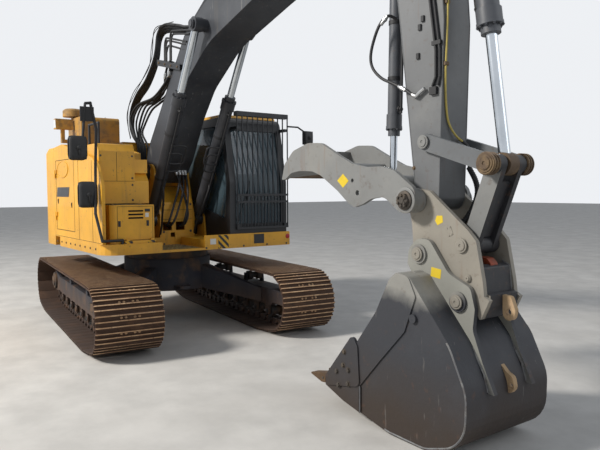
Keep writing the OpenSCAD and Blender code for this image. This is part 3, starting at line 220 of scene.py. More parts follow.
worn = surface("worn_pin", "#5d4c3b", ("noise", "#86704f", 8, 0.7, 0.45, 0.65),
    ("fine", "#3d2e24", 22, 0.7, 0.52, 0.68), rough=(0.5, 0.75), metal=0.3, bump=0.35)
hook_tan = surface("hook_tan", "#b39774", ("noise", "#d2b592", 8, 0.6),
    ("fine", "#5c4534", 20, 0.6, 0.55, 0.7), rough=(0.6, 0.8), bump=0.3)
# Near-black paint with rust specks: painted shade on the bucket link's front and middle and on the coupler's
# middle.
link_shade_dark = surface("link_shade_dark", "#26272b", ("noise", "#3b3b3e", 3),
    ("fine", "#6b5140", 18, 0.4, 0.58, 0.72), rough=(0.45, 0.65), bump=0.12)
bucket_seam = surface("bucket_seam", "#66676a", ("noise", "#8a8a88", 12, 0.7, 0.45, 0.65),
    ("fine", "#4d4038", 30, 0.6, 0.5, 0.66), bump=0.6, grain=120)
bucket_rust = surface("bucket_rust", "#5a4334", ("noise", "#7b5a42", 7, 0.7, 0.45, 0.65),
    ("fine", "#35291f", 22, 0.6, 0.5, 0.66), rough=(0.55, 0.8), bump=0.5, grain=60)
# Near black: the dark joints of the panels, and painted shade in the louvres, the hood's slots and the tool
# box's recess.
joint_and_shade_dark = surface("joint_and_shade_dark", "#1b1917", ("noise", "#2c2823", 9), rough=(0.7, 0.9), bump=0.1)
blank_dark = surface("blank_dark", "#1d1e21", ("noise", "#303236", 14, 0.4), rough=(0.25, 0.4), bump=0.02)
tread_grey = surface("tread_grey", "#8c7a4e", ("noise", "#5d5548", 6, 0.8, 0.45, 0.65),
    ("fine", "#33302b", 24, 0.6, 0.52, 0.68), rough=(0.6, 0.85), bump=0.3)
mirror_black = surface("mirror_black", "#1b1c1e", ("noise", "#2c2d30", 8), rough=(0.45, 0.6), bump=0.25,
    grain=220)
# Lighter copy of the bucket paint for the ear plates: painted sunlight, darker towards the bottom, with rust
# specks and dark scratches.
ear_grey_sunlit = surface("ear_grey_sunlit", "#8f8f88", ("noise", "#a6a49c", 2.6),
    ("fine", "#7c6650", 9, 0.4, 0.62, 0.74), ("low", "#5c5c5c", 1.8, 0.7, 1, 0.8),
    ("scratch", "#55565a", 26, 0.3, 0.68, 0.73), rough=(0.48, 0.7), bump=0.2)
latch_red = surface("latch_red", "#8e3d22", ("noise", "#5b3a2a", 14, 0.7, 0.45, 0.65), rough=(0.5, 0.7),
    bump=0.3)
blank_pale = surface("blank_pale", "#d9d8d2", ("noise", "#b9b7ae", 14, 0.4), rough=(0.35, 0.5), bump=0.02)
sticker = surface("sticker_yellow", "#e0c22c", ("noise", "#b89a24", 12, 0.4), bump=0.03)
yellow_hose = surface("yellow_hose", "#c9b45a", ("noise", "#7d7a4a", 12), bump=0.05)
red_lens = surface("red_lens", "#b3242a", ("noise", "#7e161c", 20, 0.4), rough=(0.15, 0.25), bump=0.1)
lamp_lens = surface("lamp_lens", "#c9cdd0", ("noise", "#9aa0a5", 30), rough=(0.08, 0.16), bump=0.2)
stripes = surface("warning_stripes", "#d9a521", ("stripe", "#17181a", 0.05, 1),
    ("fine", "#6b5a44", 20, 0.5, 0.55, 0.7), bump=0.04)
glass = glass_material("glass", "#4f626c")

PAINT = (
    (frame_dark, "centre_frame track_frames tow_eyes"), (track_rust_and_shade, "track_right track_left"),
    (wheel_iron, "drives wheels swing_ring engine"),
    (yellow, "main_frame counterweight right_housing right_door left_housing left_door engine_hood"),
    (yellow, "fuel_tank tool_box cab_roof"), (dust_and_shade_yellow, "roof_fittings"),
    (cab_black, "cab_shell cab_door front_guard"), (glass, "cab_glass door_glass"),
    (plastic, "cab_interior"), (rubber, "mirrors handrails arm_pipes"),
    (boom_grey, "boom"), (arm_grey, "arm"), (lift_grey, "lift_barrels"),
    (cylinder_grey, "boom_pipes crowd_barrel curl_barrel thumb_barrel"),
    (chrome, "lift_rods crowd_rod curl_rod thumb_rod"), (bar_grey, "side_links"),
    (tool_grey, "bucket_link thumb"), (coupler_grey, "coupler"), (bucket_grey_shadowed, "bucket"),
    (tooth_metal, "bucket_teeth"), (hook_tan, "bucket_eyes"),
)
for mat, names in PAINT:
    for name in names.split():
        nodes[name].data.materials.clear()
        nodes[name].data.materials.append(mat)


# Mesh tools
def basis(axis):
    """Two unit vectors that stand square on axis."""
    axis = axis.normalized()
    side = axis.cross(TOP if abs(axis.z) < 0.9 else FRONT).normalized()
    return side, axis.cross(side)


def circle(centre, u, v, r, n, phase=0.0):
    """n points round centre in the plane of u and v."""
    angles = [2 * math.pi * (k + phase) / n for k in range(n)]
    return [centre + u * (r * math.cos(a)) + v * (r * math.sin(a)) for a in angles]


def around(centre, axis, r, n, phase=0.0):
    """n points round an axis, r millimetres from it."""
    return circle(centre, *basis(axis), r / 1000, n, phase)


def curve_points(points, steps):
    """A smooth run through the given points."""
    pts = [spot(p) for p in points]
    pts = [pts[0] * 2 - pts[1]] + pts + [pts[-1] * 2 - pts[-2]]
    out = []
    for a, b, c, d in zip(pts, pts[1:], pts[2:], pts[3:]):
        for k in range(steps):
            t = k / steps
            out.append(0.5 * ((2 * b) + (c - a) * t + (2 * a - 5 * b + 4 * c - d) * t * t
                              + (3 * b - a - 3 * c + d) * t ** 3))
    return out + [pts[-2]]


class Kit:
    """Gathers many small forms into one mesh piece. After a with block it rides on its body.
    Points are Vectors of the frame in metres, or tuples of the upper structure in millimetres.
    Radii and other sizes are in millimetres."""

    def __init__(self, name, body, mat, smooth=35):
        self.name, self.body, self.mat, self.smooth = name, body, mat, smooth
        self.verts, self.faces = [], []

    def __enter__(self):
        return self

    def __exit__(self, kind, error, trace):
        if kind is None:
            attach(self.build(), self.body)

    def loft(self, rows):
        """Walls from row to row and a face over each end. Gives the number of its first wall."""
        n, start, first = len(rows[0]), len(self.verts), len(self.faces)
        for row in rows:
            self.verts += row
        last = len(self.verts) - n
        for a in range(start, last, n):
            for k in range(n):
                j = (k + 1) % n
                self.faces.append((a + k, a + j, a + n + j, a + n + k))
        self.faces.append(tuple(reversed(range(start, start + n))))
        self.faces.append(tuple(range(last, last + n)))
        return first

    def tube(self, points, r, n=10, steps=6, radii=None):
        """A round run of radius r through points, smoothed unless steps is 1."""
        pts = curve_points(points, steps) if steps > 1 else [spot(p) for p in points]
        u = basis(pts[1] - pts[0])[0]
        rows = []
        for i, p in enumerate(pts):
            ahead = (pts[min(i + 1, len(pts) - 1)] - pts[max(i - 1, 0)]).normalized()
            u = (u - ahead * u.dot(ahead)).normalized()
            share = radii(i / (len(pts) - 1)) if radii else 1
            rows.append(circle(p, u, ahead.cross(u), share * r / 1000, n))
        self.loft(rows)

    def line(self, points, r):
        """A thin straight run, as of a seam or a weld."""
        self.tube(points, r, n=6, steps=1)

    def turned(self, base, axis, profile, n=16):
        """A turned form. The profile's rows are (distance along axis, radius)."""
        axis = axis.normalized() / 1000
        self.loft([around(spot(base) + axis * d, axis, max(r, 0.01), n) for d, r in profile])

    def bolt(self, base, axis, r, h):
        """A hexagon head of radius r and height h on its washer."""
        self.turned(base, axis, [(-2, r * 1.5), (2, r * 1.5), (2.1, r), (h * 0.8, r), (h, r * 0.8)], n=6)

    def slab(self, one, other, cut):
        """A block between two corners, with the edges along its longest side chamfered by cut."""
        pairs = list(zip(spot(one), spot(other)))
        lo, hi = [min(p) for p in pairs], [max(p) for p in pairs]
        long = max(range(3), key=lambda i: hi[i] - lo[i])
        a, b = [i for i in range(3) if i != long]
        c = min(cut / 1000, (hi[a] - lo[a]) * 0.49, (hi[b] - lo[b]) * 0.49)
        rim = [(lo[a] + c, lo[b]), (hi[a] - c, lo[b]), (hi[a], lo[b] + c), (hi[a], hi[b] - c),
               (hi[a] - c, hi[b]), (lo[a] + c, hi[b]), (lo[a], hi[b] - c), (lo[a], lo[b] + c)]
        self.loft([[Vector([{a: s, b: t, long: end}[i] for i in range(3)]) for s, t in rim]
                   for end in (lo[long], hi[long])])

    def plate(self, outline, y0, y1):
        """An outline of (forward, up) in millimetres, thick from y0 to y1."""
        self.loft([run(outline, y0), run(outline, y1)])

    def build(self):
        """The mesh piece as an object. Edges sharper than the angle smooth stay sharp."""
        mesh = bpy.data.meshes.new(self.name)
        mesh.from_pydata([tuple(v) for v in self.verts], [], self.faces)
        mesh.validate()
        tool = bmesh.new()
        tool.from_mesh(mesh)
        bmesh.ops.recalc_face_normals(tool, faces=tool.faces)
        for edge in tool.edges:
            edge.smooth = len(edge.link_faces) == 2 and edge.calc_face_angle(0) < math.radians(self.smooth)
        for face in tool.faces:
            face.smooth = True
        tool.to_mesh(mesh)
        tool.free()
        item = bpy.data.objects.new(self.name, mesh)
        bpy.context.scene.collection.objects.link(item)
        mesh.materials.append(self.mat)
        return item


def run(outline, y):
    """An outline of (forward, up) in millimetres as points at y."""
    return [up(x, y, z) for x, z in outline]


# Tracks: separate shoes with three bars, bolts, links and bushings, laid along the path of the CAD track
GAUGE, SHOE_W, HALF_BASE, AXLE_Z, SHOE_R, BAR_H, FLAT = 2390, 800, 1920, 460, 384, 26, 3000
RAMP_X, RAMP_Z = HALF_BASE - FLAT / 2, AXLE_Z - BAR_H
RAMP = math.sqrt(RAMP_X ** 2 + RAMP_Z ** 2 - SHOE_R ** 2)
RAMP_ANGLE = math.atan2(RAMP_Z, RAMP_X) - math.asin(SHOE_R / math.hypot(RAMP_X, RAMP_Z))
BEND = SHOE_R * (math.pi - RAMP_ANGLE)
HALF_LOOP = FLAT / 2 + RAMP + BEND + HALF_BASE
SHOES = 53
PITCH = 2 * HALF_LOOP / SHOES
REACH = PITCH * 0.46

# A shoe's section as (along, out), the numbers of its bars' tips, and a link's outline
SHOE_HALF = PITCH / 2 - 3
SHOE = [(-SHOE_HALF, -12), (-SHOE_HALF, -1)]
for bar in (-PITCH / 3, 0, PITCH / 3):
    SHOE += [(bar - 14, 0), (bar - 7, 24.5), (bar + 7, 24.5), (bar + 14, 0)]
SHOE += [(SHOE_HALF, -1), (SHOE_HALF, -9), (SHOE_HALF - 8, -14), (-SHOE_HALF + 8, -14)]
BAR_TIPS = (3, 7, 11)
LINK = [(-62, -15), (-82, -40), (-72, -78), (-50, -97), (50, -97), (72, -78), (82, -40), (62, -15)]
# A shoe's ends as (across, how far the section draws in)
SHOE_ENDS = ((-SHOE_W / 2 + 1.5, 9), (-SHOE_W / 2 + 14, 0), (SHOE_W / 2 - 14, 0), (SHOE_W / 2 - 1.5, 9))
BUSHING = [(0, 16), (4, 19), (40, 19), (41, 24), (175, 24), (176, 19), (212, 19), (216, 16)]


def half_path(s):
    """The point at s along half the loop: ground run, ramp, bend and top run."""
    if s < FLAT / 2:
        return s, BAR_H
    s -= FLAT / 2
    if s < RAMP:
        return FLAT / 2 + s * math.cos(RAMP_ANGLE), BAR_H + s * math.sin(RAMP_ANGLE)
    s -= RAMP
    if s < BEND:
        a = RAMP_ANGLE - math.pi / 2 + s / SHOE_R
        return HALF_BASE + SHOE_R * math.cos(a), AXLE_Z + SHOE_R * math.sin(a)
    return HALF_BASE + BEND - s, AXLE_Z + SHOE_R


def track_point(s):
    t = s % (2 * HALF_LOOP)
    if t <= HALF_LOOP:
        return Vector(half_path(t))
    x, z = half_path(2 * HALF_LOOP - t)
    return Vector((-x, z))


def track(side, name, node):
    """One track loop. Each shoe slips sideways and lifts by a random millimetre or so."""
    shoes = Kit(name + "_shoes", "undercarriage", track_rust_and_shade, 30)
    chain = Kit(name + "_chain", "undercarriage", chain_iron, 30)
    bolts = Kit(name + "_bolts", "undercarriage", track_worn_and_lit, 20)
    tips = []
    for i in range(SHOES):
        back, ahead = (track_point((i + 0.5) * PITCH + reach) for reach in (-REACH, REACH))
        along = (ahead - back).normalized()
        out = Vector((along.y, -along.x))
        mid = (back + ahead) / 2
        slip = random.uniform(-1.5, 1.5)
        lift = random.uniform(-1.2, 0.4)

        def at(t, n, y):
            p = mid + along * t + out * n
            return down(p.x, side * GAUGE / 2 + y, p.y)

        rows = []
        for y, inset in SHOE_ENDS:
            rows.append([at(t * (1 - inset / 150), n - (inset * 0.5 if n > 10 else 0) + lift, y + slip)
                         for t, n in SHOE])
        first = shoes.loft(rows)
        tips += [first + row * len(SHOE) + k for row in range(len(rows) - 1) for k in BAR_TIPS]
        for y in (-105, -52, 52, 105):
            bolts.bolt(at(PITCH / 6, lift, y + slip), at(0, 1, 0) - at(0, 0, 0), 11, 10)
        for middle in (-69, 69):
            chain.loft([[at(t, n, middle + y) for t, n in LINK] for y in (-12, 12)])
        chain.turned(at(-REACH, -52, -108), at(0, 0, 1) - at(0, 0, 0), BUSHING, n=10)
    for kit in (shoes, chain, bolts):
        piece = kit.build()
        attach(piece, "undercarriage")
        if kit is shoes:
            # The bars' tips get the lighter steel: wear and a painted highlight.
            piece.data.materials.append(track_worn_and_lit)
            for k in tips:
                piece.data.polygons[k].material_index = 1
            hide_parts(node)


track(-1, "right_track", "track_right")
track(1, "left_track", "track_left")


# Shared places of the part, in millimetres of the upper structure
BOOM_Y = -55
TIP, ARM_PIN, FOOT_PIN = (5482.3, 1892.0), (5191.2, 4757.3), (100, 2230)
FRONT_PIN, REAR_PIN = (5550.3, 1462.0), (5949.8, 1129.2)
LINK_PIN, LINK_ARM, COUPLER_LINK = (6169.3, 2165.0), (5551.3, 2360.0), (5937.3, 1552.0)
CURL_FOOT, CROWD_FOOT, CROWD_PIN = (5831.2, 4477.3), (2250, 4850), (5421.2, 5557.3)
THUMB_FOOT, THUMB_PIN = (5032.3, 3947.0), (4992.3, 2057.0)
LIFT_FOOT, LIFT_PIN = (400, 1560), (1930, 4040)


def near(base, points):
    """Points given from a pin."""
    return [(base[0] + p[0], base[1] + p[1]) + tuple(p[2:]) for p in points]


def ends(pin, half):
    """Both ends of a pin that reaches half from the boom's middle, each with its way out."""
    return [((pin[0], BOOM_Y + side * half, pin[1]), LEFT * side) for side in SIDES]


def rounded(rows, n=5):
    """Outline from rows of (across, up, corner radius), as in the part's source."""
    out = []
    for i, row in enumerate(rows):
        a, b, c = (Vector(p[:2]) for p in (rows[i - 1], row, rows[(i + 1) % len(rows)]))
        r = row[2]
        if r == 0:
            out.append(tuple(b))
            continue
        u, v = (a - b).normalized(), (c - b).normalized()
        half = u.angle(v) / 2
        o = b + (u + v).normalized() * r / math.sin(half)
        p, q = b + u * r / math.tan(half) - o, b + v * r / math.tan(half) - o
        start = math.atan2(p.y, p.x)
        turn = (math.atan2(q.y, q.x) - start + 3 * math.pi) % (2 * math.pi) - math.pi
        for k in range(n + 1):
            t = start + turn * k / n
            out.append((o.x + r * math.cos(t), o.y + r * math.sin(t)))
    return out


def repaint(node_name, mat, test):
    """Gives the faces of a CAD node whose middle and normal pass the test another material."""
    mesh = nodes[node_name].data
    mesh.materials.append(mat)
    slot = len(mesh.materials) - 1
    for poly in mesh.polygons:
        c = poly.center
        if test(c.x * 1000 + MID, c.y * 1000, c.z * 1000, poly):
            poly.material_index = slot


def within(pin, r):
    return lambda x, y, z, poly: math.hypot(x - pin[0], z - pin[1]) < r


# The ear plates' side faces get the lighter paint: painted sunlight over the bucket's painted shadow.
repaint("bucket", ear_grey_sunlit, lambda x, y, z, poly: abs(poly.normal.y) > 0.9 and 200 < abs(y - BOOM_Y) < 262)
# Painted shade: the bucket link's faces that don't face sideways, and the middles of the link and the
# coupler, turn near black.
repaint("bucket_link", link_shade_dark, lambda x, y, z, poly: abs(poly.normal.y) < 0.5 or abs(y - BOOM_Y) < 120)
repaint("coupler", link_shade_dark, lambda x, y, z, poly: abs(y - BOOM_Y) < 164)
repaint("thumb", tooth_metal, lambda x, y, z, poly: x < TIP[0] - 1668 and abs(poly.normal.y) < 0.5)
# Painted shade: the tool box's recessed faces just behind its front turn near black.
repaint("tool_box", joint_and_shade_dark, lambda x, y, z, poly: 1218 < x < 1249 and -1095 < y < -885 and 1615 < z < 1735)
# Dust and painted shade: the right housing above 2680 mm and the hood's top faces get the browner yellow.
repaint("right_housing", dust_and_shade_yellow, lambda x, y, z, poly: z > 2680)
repaint("engine_hood", dust_and_shade_yellow, lambda x, y, z, poly: poly.normal.z > 0.9)
repaint("mirrors", mirror_face, lambda x, y, z, poly: poly.normal.x < -0.99 and poly.area > 0.02)
for name, mat, pin, r in (
        ("side_links", worn, LINK_PIN, 90), ("lift_rods", boom_grey, LIFT_PIN, 120),
        ("crowd_rod", boom_grey, CROWD_PIN, 120), ("curl_rod", worn, LINK_PIN, 110),
        ("thumb_rod", tool_grey, THUMB_PIN, 90), ("arm", worn, TIP, 60)):
    repaint(name, mat, within(pin, r))


# Welds run along the corners of the plate work
def weld(kit, outline, half, r):
    """A bead along an outline, on both sides of the boom's middle."""
    for side in SIDES:
        kit.line(run(outline, BOOM_Y + side * half), r)


ARM_SIDE = rounded(
    near(TIP, [(-105, -75, 95), (125, -85, 95), (180, 8, 60), (218, 1408, 400)])
    + near(ARM_PIN, [(420, -420, 200), (260, 300, 200)])
    + near(CROWD_PIN, [(95, 60, 90), (-95, 70, 90)])
    + near(ARM_PIN, [(-190, 60, 120), (-81, -607, 300)])
    + near(TIP, [(-248, 1443, 600), (-64, 43, 200)]))
BOOM_SIDE = rounded(
    near(FOOT_PIN, [(-150, -60, 120), (80, -150, 120), (440, 190, 400), (830, 790, 900),
                    (1170, 1160, 700), (1890, 1600, 1400), (2980, 1880, 900)])
    + near(ARM_PIN, [(-191, -197, 300), (60, -190, 100), (190, 10, 120), (50, 200, 150), (-241, 168, 300)])
    + near(FOOT_PIN, [(1780, 2120, 900), (1230, 1830, 600), (-60, 390, 300), (-160, 170, 120)]), 6)
for body, rim, half, mat in (("arm", ARM_SIDE, 156, arm_grey), ("boom", BOOM_SIDE, 239, boom_grey)):
    with Kit(body + "_welds", body, mat) as kit:
        weld(kit, rim + rim[:1], half, 5)

SHELL = rounded(near(FRONT_PIN, [
    (-895, -1237, 0), (-655, -1320, 200), (-110, -1440, 400), (286, -1450, 300),
    (664, -1322, 280), (671, -942, 300), (519, -632, 350), (102, -154, 60)]), 8)
EAR_FOOT = near(FRONT_PIN, [(240, -336), (380, -515), (535, -660), (640, -830), (676, -960)])
with Kit("bucket_welds", "bucket", bucket_seam) as kit:
    weld(kit, SHELL[10:-9], 489, 9)
    for half in (212, 254):
        weld(kit, EAR_FOOT, half, 10)
with Kit("bucket_wear_bands", "bucket", bucket_rust) as kit:
    for x, z in (SHELL[26], SHELL[31]):
        kit.line([(x, BOOM_Y - 484, z), (x - 2, BOOM_Y, z), (x, BOOM_Y + 484, z)], 8)


# Pin ends: washer, cap with a dimple, and a keeper plate with its bolts
def pin_end(kit, end, axis, r, keeper):
    """r is the pin's radius, and keeper the plate's angle in degrees, or None."""
    kit.turned(end, axis, [(-4, r * 1.32), (4, r * 1.32), (6, r * 1.28), (6.1, r * 0.98), (11, r * 0.98),
                           (14, r * 0.9), (14, r * 0.3), (8, r * 0.26), (8, 0)], n=28)
    if keeper is None:
        return
    a = math.radians(keeper)
    out = Vector((math.cos(a), 0, math.sin(a)))
    wide = out.cross(LEFT)

    def at(across, outwards, height):
        return up(*end) + ((wide * across + out * outwards) * r + axis * height) / 1000

    for k in SIDES:
        kit.bolt(at(0.35 * k, 1.75, 6), axis, 11, 10)
    kit.loft([[at(p, q, h) for p, q in ((-0.7, 0.7), (0.7, 0.7), (0.7, 2.1), (-0.7, 2.1))] for h in (-2, 6)])


PIN_ENDS = (
    ("bucket_pin_ends", "bucket", coupler_grey, [(FRONT_PIN, 283, 42, None), (REAR_PIN, 283, 42, None)]),
    ("coupler_pin_ends", "bucket", coupler_grey,
     [(COUPLER_LINK, 217, 42, None), ((6002.3, 1309.0), 215, 20, None)]),
    ("arm_link_pin_ends", "arm", tool_grey, [(LINK_ARM, 225, 42, None)]),
    ("arm_foot_pin_ends", "arm", boom_grey, [(CURL_FOOT, 96, 42, 20), (THUMB_FOOT, 86, 34, None)]),
    ("boom_pin_ends", "boom", boom_grey, [(CROWD_FOOT, 106, 46, 120), (ARM_PIN, 255, 66, 200)]),
    ("foot_pin_ends", "upper", boom_grey, [(FOOT_PIN, 291, 74, 60), (LIFT_FOOT, 473, 48, 80)]),
    ("link_pin_ends", "side_links", worn, [(LINK_PIN, 246, 50, None)]),
    ("crowd_pin_ends", "arm", boom_grey, [(CROWD_PIN, 158, 50, -90)]),
    ("lift_pin_ends", "boom", boom_grey, [(LIFT_PIN, 446, 46, None)]),
)
for name, body, mat, pins in PIN_ENDS:
    with Kit(name, body, mat) as kit:
        for pin, half, r, keeper in pins:
            for end, out in ends(pin, half):
                pin_end(kit, end, out, r, keeper)

# Slotted nuts on the thumb's pin: flange, hexagon, the tabs between the slots, and the pin's end
NUT_R = 62
with Kit("thumb_pin_nuts", "arm", pin_dark) as kit:
    for end, axis in ends(TIP, 356):
        base = up(*end)
        kit.turned(base, axis, [(-2, NUT_R * 1.25), (10, NUT_R * 1.25), (12, NUT_R * 1.2)], n=28)
        kit.turned(base + axis * 0.011, axis, [(0, NUT_R), (22, NUT_R), (26, NUT_R * 0.95)], n=6)
        for c in around(base + axis * 0.034, axis, NUT_R * 0.66, 6, 0.5):
            kit.turned(c, axis, [(0, NUT_R * 0.2), (13, NUT_R * 0.2), (16, NUT_R * 0.15)], n=6)
        kit.turned(base + axis * 0.030, axis, [(0, NUT_R * 0.45), (10, NUT_R * 0.45), (14, NUT_R * 0.38)])

HUB_RING = [(-2, 105), (12, 105), (15, 100), (15, 80), (10, 77), (10, 60)]
with Kit("thumb_hub_rings", "thumb", tool_grey) as kit:
    for end, out in ends(TIP, 340):
        kit.turned(end, out, HUB_RING, n=36)
with Kit("link_pin_rings", "side_links", worn) as kit:
    for half in (168, 198, 224):
        for end, out in ends(LINK_PIN, half):
            kit.turned(end, out, [(0, 79), (3, 85), (13, 85), (16, 79)], n=32)


# Cylinders: bolted glands, and pipes along the barrels
def gland(kit, end, axis, r, count):
    """A ring of radius r with its bolts, near the end of a barrel."""
    kit.turned(end - axis * 0.026, axis, [(0, r), (0.5, r * 1.05), (24, r * 1.05), (26, r)], n=36)
    for c in around(end, axis, r * 0.93, count, 0.5):
        kit.bolt(c, axis, 10.5, 12)


def barrel_pipe(kit, origin, axis, a, b, r, out):
    """A steel pipe from a to b along a barrel of radius r, with port blocks and two bands."""
    stand = r + 22

    def at(d, h):
        return origin + (axis * d + out * h) / 1000

    kit.tube([at(a, r * 0.9), at(a, stand - 10), at(a + 30, stand), at(b - 40, stand),
              at(b - 10, stand - 10), at(b, r * 0.9)], 13, n=8, steps=4)
    for d in (a, b):
        kit.turned(at(d, r - 4), out, [(0, 30), (16, 30), (18, 22), (34, 20)], n=6)
    for t in (0.3, 0.75):
        kit.turned(at(a + (b - a) * t - 18, 0), axis, [(0, r), (0.5, r + 5), (35.5, r + 5), (36, r)], n=36)


# Barrel, foot and pin, places across, length, radius, gland bolts, where the pipe starts, and on which side
CYLINDERS = (("lift_barrels", LIFT_FOOT, LIFT_PIN, (-425, 315), 2008, 85, 12, 260, -1),
             ("crowd_barrel", CROWD_FOOT, CROWD_PIN, (BOOM_Y,), 2000, 85, 12, 260, 1),
             ("curl_barrel", CURL_FOOT, LINK_PIN, (BOOM_Y,), 1345.7, 85, 10, 260, -1),
             ("thumb_barrel", THUMB_FOOT, THUMB_PIN, (BOOM_Y,), 1490.4, 60, 8, 180, 1))
for name, foot, pin, places, length, r, count, start, side in CYLINDERS:
    mat = lift_grey if name == "lift_barrels" else cylinder_grey
    with Kit(name + "_pipe", name, rubber) as pipes, Kit(name + "_gland", name, mat) as kit:
        for y in places:
            origin = up(foot[0], y, foot[1])
            axis = (up(pin[0], y, pin[1]) - origin).normalized()
            gland(kit, origin + axis * (length - 60) / 1000, axis, r * 1.15, count)
            barrel_pipe(pipes, origin, axis, start, length - 230, r, axis.cross(LEFT) * side)


# Hoses and pipes of the boom
def ferrule(kit, a, b, r):
    """A crimped end on a hose of radius r, from a towards b."""
    kit.turned(a, b - a, [(0, r * 1.25), (20, r * 1.3), (22, r * 1.6), (45, r * 1.6),
                          (47, r * 1.3), (85, r * 1.3), (90, r * 1.1)], n=10)


# Pipes of the ladder as (forward and height of the upper end, where they turn down, inset of the turn)
LADDER = [(1473, 4080, 905, 0), (1413, 4045, 905, 14), (1320, 3968, 690, 0), (1274, 3941, 690, 16),
          (1241, 3878, 690, 32)]
with Kit("boom_back_pipes", "boom", rubber) as kit:
    for i, (x, z, left, inset) in enumerate(LADDER):
        top = z + (0.22 if left > 800 else 0.32) * (x - left) * 0.75
        turn = left + inset
        kit.tube(run([(x + 70, z - 18), (x, z), (turn + 110, top - 8), (turn + 35, top - 16),
                      (turn, top - 70), (turn - 8, 3950), (turn - 12, 3780)], i * 7 - 311), 13.5)
with Kit("hose_bracket", "boom", cab_black) as kit:
    kit.plate([(498, 3862), (1240, 3672), (1240, 3596), (495, 3776)], -336, -324)
    kit.plate([(498, 3862), (1240, 3672), (1240, 3664), (498, 3852)], -325, -90)
    kit.plate([(495, 3786), (1200, 3613), (1200, 3603), (495, 3776)], -325, -90)
with Kit("hose_bracket_bolts", "boom", worn) as kit:
    for x, z in ((560, 3804), (760, 3753), (960, 3702), (1160, 3652)):
        kit.bolt((x, -336, z), RIGHT, 13, 12)

# Six hoses hang from the ladder's foot, each with its own wobble, and four come over the boom's back
BUNDLE = [(636, 3807), (559, 3636), (375, 3476), (74, 3384), (-283, 3320), (-541, 3131), (-500, 2880),
          (-345, 2660), (-342, 2300)]
TOP_RUN = [(1399, 4153), (1250, 4180), (1083, 4232), (675, 4322), (445, 4250), (352, 4020), (231, 3850),
           (-41, 3640), (-400, 3480), (-650, 3260), (-690, 3010), (-560, 2830), (-345, 2680), (-350, 2300)]
HOSE_R, THIN_HOSE_R = 16.5, 14.5
hoses = Kit("boom_hoses", "boom", rubber)
metal = Kit("boom_hose_ferrules", "boom", bare)
for i in range(6):
    y = -326 + 34 * i
    wobble = [random.uniform(-26, 26) for _ in BUNDLE]
    pts = []
    for k, ((x, z), w) in enumerate(zip(BUNDLE, wobble)):
        spread = i if 1 < k < 6 else 0
        pts.append((x + 24 * spread + w * (0 < k < 8), z - 20 * spread + w * 0.7 * (0 < k < 7)))
    if i < 3:
        pts[:4] = [(905 - 14 * i, 3780), (860 - 10 * i, 3600), (640 - 12 * i, 3440), (280, 3340)]
    line = [up(x, y + 12 * math.sin(2.1 * k + i), z) for k, (x, z) in enumerate(pts)]
    line[0], line[-1] = up(pts[0][0], y, pts[0][1]), up(-342, y, 2300)
    hoses.tube(line, HOSE_R if i % 2 else THIN_HOSE_R, steps=8)
    smooth = curve_points(line, 8)
    ferrule(metal, smooth[6], smooth[9], HOSE_R)
for i, y_end in enumerate((-255, -205, 95, 145)):
    y_start = -290 + 30 * i
    pts = []
    for k, (x, z) in enumerate(TOP_RUN):
        t = min(1, k / 3)
        shift = 44 * i if 0 < k < 12 else 0
        pts.append((x - shift * 0.8, y_end + (y_start - y_end) * t * t * (3 - 2 * t), z - shift * 0.5))
    hoses.tube(pts, 19, steps=7)
for i, y in enumerate((-345, -338)):
    hoses.tube([(x + 30 * math.sin(1.7 * k + i), y, z + 35 * math.cos(2.3 * k + 2 * i))
                for k, (x, z) in enumerate(TOP_RUN[2:-2])], 6, n=6, steps=7)
for kit in (hoses, metal):
    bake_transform(kit.build())

# Hoses below the boom, out of the two holes of the cover
FOOT_RUNS = (
    [(378, 95, 2300), (402, 95, 2225), (470, 60, 1990), (585, -70, 1740), (608, -150, 1560),
     (560, -190, 1478), (470, -205, 1462)],
    [(378, 140, 2300), (404, 140, 2215), (520, 110, 1930), (640, 30, 1700), (640, -10, 1550),
     (570, -15, 1470), (470, -20, 1458)],
    [(378, 40, 2300), (398, 42, 2240), (440, 0, 2030), (545, -120, 1800), (590, -200, 1620),
     (560, -240, 1495), (470, -245, 1478)],
    [(378, -20, 2300), (400, -10, 2220), (500, 60, 1900), (590, 70, 1660), (600, 40, 1540),
     (560, 18, 1482), (470, 10, 1474)])
hoses = Kit("foot_hoses", "boom", rubber)
metal = Kit("foot_hose_ferrules", "boom", bare)
for line in FOOT_RUNS:
    hoses.tube(line, HOSE_R, steps=8)
    ferrule(metal, up(*line[0]), up(*line[1]), HOSE_R)
for kit in (hoses, metal):
    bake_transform(kit.build())
with Kit("belly_pipes", "boom", rubber) as kit:
    for y in (-20, 40, 95, 140):
        kit.tube([(378, y, 2302), (384, y, 2330), (452, y, 2400), (560, y, 2520)], 14, n=8, steps=4)

# Pipe loops in front of the boom cylinders, and their hoses to the platform
BARREL_FOOT = Vector((LIFT_FOOT[0], 0, LIFT_FOOT[1]))
BARREL_AXIS = (Vector((LIFT_PIN[0], 0, LIFT_PIN[1])) - BARREL_FOOT).normalized()


def on_barrel(y0, side):
    """Places points of (along the barrel, in front of it, inwards) on the barrel at y0."""
    def place(along, ahead, inwards):
        p = BARREL_FOOT + BARREL_AXIS * along + Vector((BARREL_AXIS.z, 0, -BARREL_AXIS.x)) * ahead
        return up(p.x, y0 + side * inwards, p.z)
    return place


